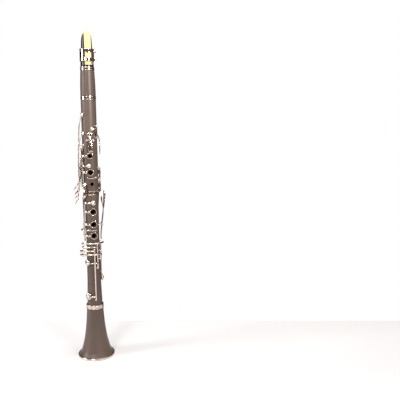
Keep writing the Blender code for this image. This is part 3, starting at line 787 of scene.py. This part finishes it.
def slab(bm, outline, low, high, place):
    """A flat outline of (x, y) points, from one height to another."""
    floor = [bm.verts.new(place @ (Vector((x, y, low)) * MM)) for x, y in outline]
    roof = [bm.verts.new(place @ (Vector((x, y, high)) * MM)) for x, y in outline]
    for index in range(len(outline)):
        after = (index + 1) % len(outline)
        bm.faces.new((floor[index], floor[after], roof[after], roof[index]))
    bm.faces.new(list(reversed(floor)))
    bm.faces.new(roof)


def slotted_head(bm, place, radius=1.05, slot=0.34):
    """A screw's head, set along the frame's Z, with a driver's slot across it."""
    lathe(bm, [(0, 0.25), (radius, 0.25), (radius, -0.6), (0, -0.6)], place, 24)
    start = math.asin(slot / 2 / radius)
    for turn in (0, math.pi):
        arc = [start + (math.pi - 2 * start) * step / 10 for step in range(11)]
        outline = [(radius * math.cos(a + turn), radius * math.sin(a + turn)) for a in arc]
        slab(bm, outline, 0.24, 0.6, place)


def post(bm, place, foot, centre):
    """A turned post: a flange on the body, a waist, and a ball round the hinge's line."""
    ball = 1.95
    curve = [(ball * math.sin(math.radians(a)), centre + ball * math.cos(math.radians(a)))
             for a in range(0, 146, 12)]
    neck = curve[-1][1]
    stem = [(1.05, neck - 0.15), (0.98, (neck + foot) / 2 + 0.3), (1.25, foot + 0.9),
            (2.1, foot + 0.62), (2.3, foot + 0.45), (2.3, foot - 0.9), (0, foot - 0.9)]
    lathe(bm, [*curve, *[(r, z) for r, z in stem if z < neck]], place, 28)


def needle(bm, azimuth, radius, start, end, lean=7.0):
    """A needle spring lying beside a hinge tube."""
    places = [(azimuth + lean, radius - 0.9, start),
              (azimuth + lean * 1.15, radius - 1.3, (start + end) / 2),
              (azimuth + lean * 0.75, radius - 0.9, end)]
    sweep(bm, spline_through(places, 5), (0.3, 0.16), 0.2, 8)


POST_STEP = 2.1
SPRING_LENGTH = 17.0


def long_pivot(node, azimuth, radius, low, high):
    """Two posts and the steel between them, along the bore, with a spring at the upper end."""
    metal = bmesh.new()
    reach = (high - low) / 2 + POST_STEP
    middle = seat(azimuth, radius, (low + high) / 2) @ ALONG_Y
    lathe(metal, [(0, reach), (0.85, reach), (0.85, -reach), (0, -reach)], middle, 16)
    for height, turn in ((low - POST_STEP, 180), (high + POST_STEP, 0)):
        post(metal, seat(azimuth, 0, height), surface(height), radius)
        facing = Matrix.Rotation(math.radians(turn), 4, "X")
        slotted_head(metal, seat(azimuth, radius, height) @ ALONG_Y @ facing @ shift(0, 0, 1.55))
    piece(node + "_fine", metal, STEEL, "body", [node])
    spring = bmesh.new()
    length = min(SPRING_LENGTH, 0.6 * (high - low))
    needle(spring, azimuth, radius, high + POST_STEP, high - length, -7.0)
    piece(node + "_springs", spring, SPRING, "body")


def cross_pivot(node, hinge, half):
    """Two posts and the steel between them, across the body."""
    azimuth, radius, height = hinge
    reach = half + POST_STEP
    metal = bmesh.new()
    middle = seat(*hinge) @ ALONG_X
    lathe(metal, [(0, reach), (0.85, reach), (0.85, -reach), (0, -reach)], middle, 16)
    foot = math.sqrt(surface(height) ** 2 - reach ** 2)
    for side, turn in ((-reach, 180), (reach, 0)):
        post(metal, seat(azimuth, 0, height) @ shift(side, 0, 0), foot, radius)
        facing = Matrix.Rotation(math.radians(turn), 4, "X")
        slotted_head(metal, seat(*hinge) @ shift(side, 0, 0) @ ALONG_X @ facing
                     @ shift(0, 0, 1.55))
    piece(node + "_fine", metal, STEEL, "body", [node])


def opened(node):
    """The turn from a key's closed place to its rest, about its own hinge."""
    joint = next(j for j in frame["record"]["behaviour"]["joints"] if j["child"] == node)
    there = Matrix.Translation(joint["pos_m"])
    back = Matrix.Rotation(-math.radians(joint["range_deg"][1]), 4, Vector(joint["axis"]))
    return there @ back @ there.inverted()


class Key:
    """One key: its nickel work, and the pads and corks glued to it."""

    def __init__(self, node):
        self.node = node
        self.metal = bmesh.new()
        self.pads = bmesh.new()
        self.corks = bmesh.new()

    def tube(self, place, half):
        """The hinge tube, with a collar at each end."""
        collar = min(1.3, half * 0.5)
        outline = [(TUBE, half), (TUBE + 0.14, half - 0.14), (TUBE + 0.14, half - collar),
                   (TUBE - 0.02, half - collar - 0.2), (TUBE - 0.02, -half + collar + 0.2),
                   (TUBE + 0.14, -half + collar), (TUBE + 0.14, -half + 0.14), (TUBE, -half),
                   (0.98, -half), (0.98, half)]
        lathe(self.metal, outline, place, 28, True)

    def long_tube(self, azimuth, radius, low, high):
        self.tube(seat(azimuth, radius, (low + high) / 2) @ ALONG_Y, (high - low) / 2)

    def cross_tube(self, hinge, offset, half):
        self.tube(seat(*hinge) @ shift(offset, 0, 0) @ ALONG_X, half)

    def cup(self, azimuth, height, radius, stands_open=False):
        """A domed cup with a rolled edge, and the pad that fills it."""
        place = seat(azimuth, surface(height) + 0.3, height)
        if stands_open:
            place = opened(self.node) @ place
        top = CUP_HEIGHT
        dome = [(radius * math.sin(math.radians(a)) * 0.965,
                 top - 1.25 * (1 - math.cos(math.radians(a)))) for a in range(0, 78, 8)]
        shell = [*dome, (radius - 0.02, top - 1.3), (radius, top - 1.45), (radius, 0.95),
                 (radius + 0.08, 0.8), (radius - 0.02, 0.62), (0, 0.62)]
        lathe(self.metal, shell, place, 48)
        pad = [(0, 0.75), (radius - 0.35, 0.75), (radius - 0.22, 0.45), (radius - 0.5, 0.1),
               (radius - 1.4, 0.0), (0, 0.03)]
        lathe(self.pads, pad, place, 40)

    def ring(self, azimuth, height, inner, outer, bottom):
        top = bottom + RING_THICKNESS
        outline = [(outer, top), (outer, bottom), (inner, bottom), (inner, top)]
        lathe(self.metal, outline, seat(azimuth, 0, height), 56, True, 0.42)

    def arm(self, places, widths=(1.45, 1.15), thickness=0.95):
        sweep(self.metal, spline_through(places), widths, thickness)

    def touch(self, azimuth, radius, height, width, length, tilt=0.0, taper=0.0, turn=0.0,
              dome=0.55):
        lean = (Matrix.Rotation(math.radians(-tilt), 4, "X")
                @ Matrix.Rotation(math.radians(turn), 4, "Z"))
        place = seat(azimuth, radius, height) @ lean
        lens(self.metal, place, width, length, 1.15, taper, dome)
        foot = min(width, length) * 0.3
        lathe(self.corks, [(0, -0.5), (foot, -0.5), (foot, -1.05), (0, -1.05)], place, 24)

    def leaf(self, places):
        """A flat leaf spring under a cross key."""
        sweep(self.metal, spline_through(places, 4), (1.3, 0.9), 0.14, 8)

    def make(self):
        piece(self.node + "_fine", self.metal, NICKEL, self.node, [self.node])
        for part, slot, mesh, finish in (("pads", "pad", self.pads, SKIN),
                                          ("corks", "cork", self.corks, CORK)):
            if mesh.verts:
                piece(f"{self.node}_{part}", mesh, finish, self.node)
            else:
                mesh.free()


def ring_edge(azimuth, height, middle, level, side):
    turn = math.degrees(math.atan2(middle, level))
    return (azimuth + side * turn, math.hypot(middle, level), height)


THROAT_A = (0.0, 18.2, 456.1)
THROAT_G = (48.0, 18.0, 464.0, 482.0)
RINGS_UPPER = (-66.0, 19.6)
SIDE_UPPER = (-86.0, 22.0, 447.0)
SIDE_LOWER = (-116.0, 21.5, 401.0)
SLIVER_UPPER = (72.0, 18.4, 380.7, 398.0)
C_SHARP = (72.0, 18.4, 359.0, 371.0)
REGISTER = (180.0, 19.0, 468.0)
THUMB = (138.0, 19.0, 422.0, 462.0)
SIDE_OFFSET = 1.6
SIDE_HALF = 1.4
RINGS_LOWER = (-66.0, 18.3, 255.0, 341.0)
SLIVER_LOWER = (-100.0, 17.4, 264.0, 286.0)
LEVERS = (94.0, 19.5, 283.0)
LEVER_STEP = 2.72
LEVER_HALF = 1.15
F_KEY = (112.0, 16.9, 166.0, 243.0)
F_SHARP_KEY = (26.0, 17.0, 196.0, 240.0)
E_KEY = (5.0, 17.6, 128.0, 232.0)
G_SHARP_KEY = (50.0, 17.0, 214.0, 227.0)

# Tone holes under pads: azimuth, height, cup radius.
CUPS_UPPER = [(-2, 467.5, 5.5), (14, 478.5, 4.2), (-12, 405.5, 4.6), (-60, 506.4, 4.6),
              (-60, 470, 4.6), (-112, 431, 4.4), (-120, 415.5, 4.4), (102, 391, 4.2),
              (101, 364, 4.6), (160, 455, 4.4)]
CUPS_LOWER = [(12, 330, 5.0), (-126, 277, 4.4), (78, 170, 7.0), (-58, 205, 6.0),
              (-50, 133, 7.0), (80, 220, 5.5)]


# ---- Upper joint's keys -----------------------------------------------------------------------

def make_throat_keys():
    cross_pivot("throat_a_pivot", THROAT_A, 4.2)
    key = Key("throat_a_key")
    key.cross_tube(THROAT_A, 0, 4.2)
    key.cup(-2, 467.5, 5.5)
    key.arm([(-2.2, 18.2, 469.5), (-2, 18.3, 464), (-0.5, 19.2, 459), (0, 19.4, 455)], (1.3, 2.6))
    key.arm([(0, 19.3, 457), (0.3, 19.5, 453), (1, 20.1, 447)], (2.6, 4.0), 0.7)
    key.touch(1, 20.3, 443.6, 12.3, 21.5, 1.5, 0.42, 0, 0.8)
    key.leaf([(0, 18.4, 455), (0.3, 17.9, 451), (0.6, 17.4, 447)])
    key.make()
    azimuth, radius, low, high = THROAT_G
    long_pivot("throat_g_sharp_pivot", *THROAT_G)
    key = Key("throat_g_sharp_key")
    key.long_tube(*THROAT_G)
    key.cup(14, 478.5, 4.2)
    key.arm([(azimuth, radius, 478.5), (30, 19.0, 478.6), (16, 18.3, 478.5), (10, 18.3, 478.5)])
    key.arm([(azimuth, radius, 467.5), (58, 19.4, 463.5), (72, 19.8, 456), (80, 19.7, 449)],
            (1.4, 2.0))
    key.touch(81, 19.6, 440.5, 6.8, 28, -1, 0.25)
    key.make()


def make_upper_ring_keys():
    azimuth, radius = RINGS_UPPER
    long_pivot("upper_ring_rod", azimuth, radius, 363, 440)
    key = Key("first_finger_ring_key")
    key.long_tube(azimuth, radius, 421.3, 440)
    key.ring(LEFT_HAND, 425.3, 4.9, 6.4, 17.6)
    key.arm([(azimuth, radius, 425.3), (-50, 19.9, 425.3),
             ring_edge(LEFT_HAND, 425.3, 5.9, 18.3, -1)], (1.9, 2.3), 0.85)
    key.make()
    key = Key("second_finger_ring_key")
    key.long_tube(azimuth, radius, 363, 420.8)
    key.ring(LEFT_HAND, 392.3, 5.5, 7.0, 17.6)
    key.arm([(azimuth, radius, 392.3), (-50, 19.9, 392.3),
             ring_edge(LEFT_HAND, 392.3, 6.5, 18.3, -1)], (1.9, 2.4), 0.85)
    key.cup(-12, 405.5, 4.6, True)
    key.arm([(azimuth, radius, 405.5), (-46, 20.4, 405.5), (-22, 19.9, 405.5),
             (-6, 19.7, 405.5)], (2.0, 1.5), 0.85)
    key.arm([(azimuth, radius, 367), (-56, 19.4, 367), (-46, 18.4, 364)], (1.9, 2.4), 0.85)
    key.touch(-45, 17.9, 361, 7, 20, 0, 0.2, 0, 0.3)
    key.make()


def make_side_keys():
    """Four long keys whose touches fan out by the first finger of the right hand."""
    cross_pivot("side_pivot_upper", SIDE_UPPER, SIDE_OFFSET + SIDE_HALF)
    cross_pivot("side_pivot_lower", SIDE_LOWER, SIDE_OFFSET + SIDE_HALF)
    cups = {4: (-60, 506.4, 4.6), 3: (-60, 470, 4.6), 2: (-112, 431, 4.4), 1: (-120, 415.5, 4.4)}
    rods = {4: [(-57, 18.3, 508.4), (-60, 18.3, 506.4), (-76, 19.9, 490), (-88, 21.1, 470),
                (-90.2, 22.05, 447), (-90, 23.5, 420), (-90, 24, 378), (-90, 28.4, 364)],
            3: [(-57, 18.3, 472), (-60, 18.3, 470), (-74, 19.9, 459), (-81.8, 22.05, 447),
                (-82, 23.5, 420), (-82, 24, 376), (-82, 27.4, 355)],
            2: [(-112, 18.3, 433), (-112, 18.4, 430), (-112, 21.3, 416), (-111.8, 21.56, 401),
                (-111, 22, 388), (-104, 24, 372), (-98, 27.6, 346)],
            1: [(-120, 18.3, 417.5), (-120, 18.4, 414.5), (-120.2, 21.56, 401),
                (-119, 22, 386), (-112, 24.5, 362), (-107, 28.6, 336)]}
    touches = {4: (-91, 30.5, 361, 5, 13.5, 40), 3: (-81, 29.5, 352, 5, 13.5, 40),
               2: (-97, 29.5, 342, 5.5, 13.5, 35), 1: (-106, 30.5, 331, 5.5, 13.5, 35)}
    for number in (4, 3, 2, 1):
        hinge = SIDE_UPPER if number > 2 else SIDE_LOWER
        side = 1 if number in (2, 3) else -1
        key = Key(f"side_key_{number}")
        key.cross_tube(hinge, side * SIDE_OFFSET, SIDE_HALF)
        key.cup(*cups[number])
        key.arm(rods[number], (1.35, 1.35), 1.05)
        key.touch(*touches[number], -0.12, 0, 0.5)
        key.make()


def make_upper_side_levers():
    azimuth, radius, low, high = SLIVER_UPPER
    long_pivot("upper_sliver_pivot", *SLIVER_UPPER)
    key = Key("upper_sliver_key")
    key.long_tube(*SLIVER_UPPER)
    key.cup(102, 391, 4.2)
    key.arm([(azimuth, radius, 390.8), (86, 19.3, 391), (100, 18.3, 391), (106, 18.2, 391)])
    key.arm([(azimuth, radius, 383.0), (56, 19.6, 382.4), (30, 20.0, 381.8), (6, 20.1, 381.5)],
            (1.4, 1.5))
    key.touch(0, 20.0, 381.5, 17, 3.8, 0, 0.0, 0, 0.45)
    key.make()
    azimuth, radius, low, high = C_SHARP
    long_pivot("c_sharp_pivot", *C_SHARP)
    key = Key("c_sharp_key")
    key.long_tube(*C_SHARP)
    key.cup(101, 364, 4.6)
    key.arm([(azimuth, radius, 364), (88, 19.2, 364), (100, 18.3, 364), (105, 18.2, 364)])
    key.arm([(azimuth, radius, 360.8), (60, 19.9, 359), (50, 20.4, 357)], (1.4, 2.4))
    key.touch(44, 20.3, 355.5, 12, 7, 0, 0.1)
    key.make()


def make_back_keys():
    """The register key over its tube, and the ring round the thumb hole."""
    cross_pivot("register_pivot", REGISTER, 3.5)
    key = Key("register_key")
    key.cross_tube(REGISTER, 0, 3.5)
    key.cup(180, REGISTER_HOLE, 4.2)
    key.arm([(180, 18.2, 500.5), (180, 18.4, 496), (180, 19.6, 482), (180, 20.2, 470),
             (180, 22.3, 457)], (1.3, 2.4))
    key.touch(180, 22.5, 450.5, 7.4, 18, -2, 0.3)
    key.leaf([(180, 18.8, 467), (180, 18.1, 460), (180, 17.3, 453)])
    key.make()
    azimuth, radius, low, high = THUMB
    long_pivot("thumb_ring_pivot", *THUMB)
    key = Key("thumb_ring_key")
    key.long_tube(*THUMB)
    key.ring(180, THUMB_HOLE, 5.7, 7.3, 17.6)
    key.arm([(azimuth, radius, THUMB_HOLE), (150, 19.3, THUMB_HOLE),
             ring_edge(180, THUMB_HOLE, 6.7, 18.3, -1)], (1.9, 2.4), 0.85)
    key.cup(160, 455, 4.4, True)
    key.arm([(azimuth, radius, 455), (150, 20.2, 455), (164, 19.4, 455)], (1.7, 1.3))
    key.make()


# ---- Lower joint's keys -----------------------------------------------------------------------

def make_lower_ring_key():
    azimuth, radius, low, high = RINGS_LOWER
    long_pivot("lower_ring_rod", *RINGS_LOWER)
    key = Key("lower_ring_key")
    key.long_tube(*RINGS_LOWER)
    key.cup(12, 330, 5.0, True)
    key.arm([(azimuth, radius, 330), (-40, 19.7, 330), (-10, 19.4, 330), (10, 18.9, 330),
             (18, 18.7, 330)], (2.0, 1.4), 0.85)
    key.arm([(azimuth, radius, 338), (-58, 19.8, 339.4), (-50, 20.6, 343)], (1.7, 2.4))
    key.touch(-45, 20.7, 349, 7, 17, 0, 0.2)
    for finger_hole in LOWER_HOLES:
        height = finger_hole[1]
        key.ring(RIGHT_HAND, height, 5.9, 7.4, 16.0)
        edge = ring_edge(RIGHT_HAND, height, 6.9, 16.7, -1)
        key.arm([(azimuth, radius, height), (-48, 18.4, height), edge], (1.9, 2.5), 0.85)
    key.make()


def make_lower_sliver():
    azimuth, radius, low, high = SLIVER_LOWER
    long_pivot("lower_sliver_pivot", *SLIVER_LOWER)
    key = Key("lower_sliver_key")
    key.long_tube(*SLIVER_LOWER)
    key.cup(-126, 277, 4.4)
    key.arm([(azimuth, radius, 277), (-112, 17.6, 277), (-124, 16.6, 277), (-130, 16.4, 277)])
    key.arm([(azimuth, radius, 274), (-94, 20.4, 274), (-82, 22.7, 274), (-62, 23.2, 274),
             (-42, 21.6, 274), (-20, 19.6, 274), (-4, 18.3, 274)], (1.3, 1.4), 0.9)
    key.touch(3, 18.3, 274, 14, 3.8, 0, 0, 0, 0.4)
    key.make()


def make_left_levers():
    """Three levers for the left hand's little finger, rocking on one hinge."""
    cross_pivot("lever_pivot", LEVERS, LEVER_STEP + LEVER_HALF)
    levers = {"left_lever_e": (0, [(98, 25.4, 341), (96, 24.4, 326), (94, 23, 310), LEVERS,
                                   (94, 17.5, 262), (94, 17.2, 251)],
                               (98, 25.8, 345.5, 7, 15, -3, 0.15)),
              "left_lever_f": (-LEVER_STEP,
                               [(66, 21.3, 333), (75, 22.6, 321), (86, 22.8, 308),
                                (86.1, 19.69, 283), (86, 17.6, 262), (86, 17.4, 251)],
                               (64, 21.4, 337, 6.4, 14, 0, 0.2)),
              "left_lever_f_sharp": (LEVER_STEP,
                                     [(112, 29.2, 334), (108, 27, 322), (103, 23.5, 308),
                                      (101.9, 19.69, 283), (102, 17.6, 262),
                                      (102, 17.4, 251)],
                                     (112, 29.7, 338, 7, 14, -10, 0.2))}
    for node, (offset, places, touch) in levers.items():
        key = Key(node)
        key.cross_tube(LEVERS, offset, LEVER_HALF)
        key.arm(places, (1.75, 0.95), 0.95)
        key.touch(*touch)
        key.make()


def make_little_finger_keys():
    """The low keys: their touches lie one above another for the right hand's little finger."""
    azimuth, radius, low, high = F_KEY
    long_pivot("f_key_pivot", *F_KEY)
    key = Key("f_key")
    key.long_tube(*F_KEY)
    key.cup(78, 170, 7.0, True)
    key.arm([(azimuth, radius, 170), (100, 19.2, 170), (82, 19.0, 170), (70, 18.8, 170)],
            (1.6, 1.3))
    key.arm([(azimuth, radius, 240.5), (104, 19.5, 242.5), (90, 21, 245), (60, 21.5, 246.2),
             (20, 21.6, 246.2), (-20, 21.4, 246.2), (-40, 22.6, 246.2), (-50, 24.4, 246.2)],
            (1.4, 1.7))
    key.touch(-50, 24.7, 246.2, 16, 5.8, 0, 0, 4)
    key.make()
    azimuth, radius, low, high = F_SHARP_KEY
    long_pivot("f_sharp_key_pivot", *F_SHARP_KEY)
    key = Key("f_sharp_key")
    key.long_tube(*F_SHARP_KEY)
    key.cup(-58, 205, 6.0, True)
    key.arm([(azimuth, radius, 205), (14, 20.9, 205), (5, 21.5, 205), (-20, 21.0, 205),
             (-45, 20.0, 205), (-62, 19.2, 205)], (1.6, 1.3))
    key.arm([(azimuth, radius, 237.5), (10, 18.8, 238.3), (-15, 19.8, 238.5),
             (-40, 22, 238.5), (-50, 24, 238.5)], (1.4, 1.7))
    key.touch(-49, 24.1, 238.7, 16, 5.8, 0, 0, 4)
    key.make()
    azimuth, radius, low, high = E_KEY
    long_pivot("e_key_pivot", *E_KEY)
    key = Key("e_key")
    key.long_tube(*E_KEY)
    key.cup(-50, 133, 7.0, True)
    key.arm([(azimuth, radius, 133), (-12, 20.0, 133), (-30, 20.4, 133), (-54, 20.4, 133)],
            (1.7, 1.3))
    key.arm([(azimuth, radius, 229.5), (-15, 19.6, 230.3), (-40, 22.8, 230.6),
             (-54, 26.8, 230.8)], (1.5, 1.7))
    key.touch(-56, 27.7, 230.8, 16, 5.8, 0, 0, 4)
    key.make()
    azimuth, radius, low, high = G_SHARP_KEY
    long_pivot("g_sharp_key_pivot", *G_SHARP_KEY)
    key = Key("g_sharp_key")
    key.long_tube(*G_SHARP_KEY)
    key.cup(80, 220, 5.5)
    key.arm([(azimuth, radius, 220), (62, 18.2, 220), (78, 16.7, 220), (86, 16.5, 220)])
    key.arm([(azimuth, radius, 223.5), (40, 20.8, 223.5), (26, 22.0, 223.5),
             (5, 22.8, 223.5), (-20, 23.0, 223.5), (-40, 24.2, 223.5), (-53, 26.6, 223.3)],
            (1.4, 1.7))
    key.touch(-55, 27.5, 223.2, 16, 5.8, 0, 0, 4)
    key.make()


# ---- Floor, backdrop, light and camera --------------------------------------------------------

def make_stage():
    """A pale table top whose far edge is the faint line behind the bell."""
    finish = Nodes("stage_floor", (TABLE_TONE, TABLE_TONE, TABLE_TONE), 0.8)
    dark = TABLE_TONE - TABLE_TONE_SPREAD
    pale = TABLE_TONE + TABLE_TONE_SPREAD
    finish.colour(finish.noise(3, 3), [(0.3, (dark, dark + 0.005, dark + 0.01)),
                                       (0.7, (pale, pale, pale))])
    turn = math.radians(CAMERA_TURN)
    away = Vector((math.sin(turn), math.cos(turn), 0.0))
    side = Vector((math.cos(turn), -math.sin(turn), 0.0)) * TABLE_HALF_WIDTH
    far = away * TABLE_BEHIND
    near = far - away * TABLE_DEPTH
    bm = bmesh.new()
    bm.faces.new([bm.verts.new(corner) for corner in (far - side, near - side,
                                                      near + side, far + side)])
    mesh = bpy.data.meshes.new("floor")
    bm.to_mesh(mesh)
    bm.free()
    mesh.materials.append(finish.made)
    floor = bpy.data.objects.new("floor", mesh)
    PIECES.objects.link(floor)


def area_light(name, place, target, size, power, colour=(1, 1, 1), spread=180):
    data = bpy.data.lights.new(name, "AREA")
    data.shape = "RECTANGLE"
    data.size, data.size_y = size
    data.energy = power
    data.color = colour
    data.spread = math.radians(spread)
    lamp = bpy.data.objects.new(name, data)
    lamp.location = place
    lamp.rotation_euler = (Vector(target) - Vector(place)).to_track_quat("-Z", "Y").to_euler()
    PIECES.objects.link(lamp)


def make_light():
    """Soft lights round the front of a dim, warm room, with a pale surround behind."""
    world = bpy.data.worlds.new("studio")
    world.use_nodes = True
    tree = world.node_tree
    room = tree.nodes["Background"]
    room.inputs["Color"].default_value = (0.15, 0.105, 0.088, 1)
    surround = tree.nodes.new("ShaderNodeBackground")
    surround.inputs["Color"].default_value = (1, 1, 1, 1)
    seen = tree.nodes.new("ShaderNodeLightPath")
    mixed = tree.nodes.new("ShaderNodeMixShader")
    tree.links.new(seen.outputs["Is Camera Ray"], mixed.inputs["Fac"])
    tree.links.new(room.outputs["Background"], mixed.inputs[1])
    tree.links.new(surround.outputs["Background"], mixed.inputs[2])
    tree.links.new(mixed.outputs["Shader"], tree.nodes["World Output"].inputs["Surface"])
    bpy.context.scene.world = world
    bpy.context.scene.view_settings.view_transform = "Standard"
    middle = (0, 0, 0.33)
    area_light("window_left", (-1.7, -0.1, 0.9), middle, (0.5, 1.4), 22)
    area_light("front_fill", (-0.85, -1.5, 1.3), middle, (0.5, 0.5), 15)
    area_light("strip_right", (0.68, -1.45, 0.95), (0, 0, 0.72), (0.16, 0.7), 2.4,
               (1.0, 0.96, 0.93), 50)
    area_light("ceiling", (0.5, -0.5, 2.2), (0.45, 0.1, 0.1), (2.8, 1.4), 56)


def make_camera():
    data = bpy.data.cameras.new("photo_camera")
    data.lens = 50
    data.sensor_width = 36
    camera = bpy.data.objects.new("photo_camera", data)
    camera.location = (-0.0801, -1.1448, 0.5116)
    camera.rotation_euler = (math.radians(81), math.radians(0.15), math.radians(-CAMERA_TURN))
    PIECES.objects.link(camera)
    bpy.context.scene.camera = camera


make_camera()
make_light()
make_stage()
make_mouthpiece()
make_reed()
make_ligature()
make_barrel()
make_upper_joint()
make_lower_joint()
make_bell()
make_bushings()
make_thumb_rest()
make_throat_keys()
make_upper_ring_keys()
make_side_keys()
make_upper_side_levers()
make_back_keys()
make_lower_ring_key()
make_lower_sliver()
make_left_levers()
make_little_finger_keys()
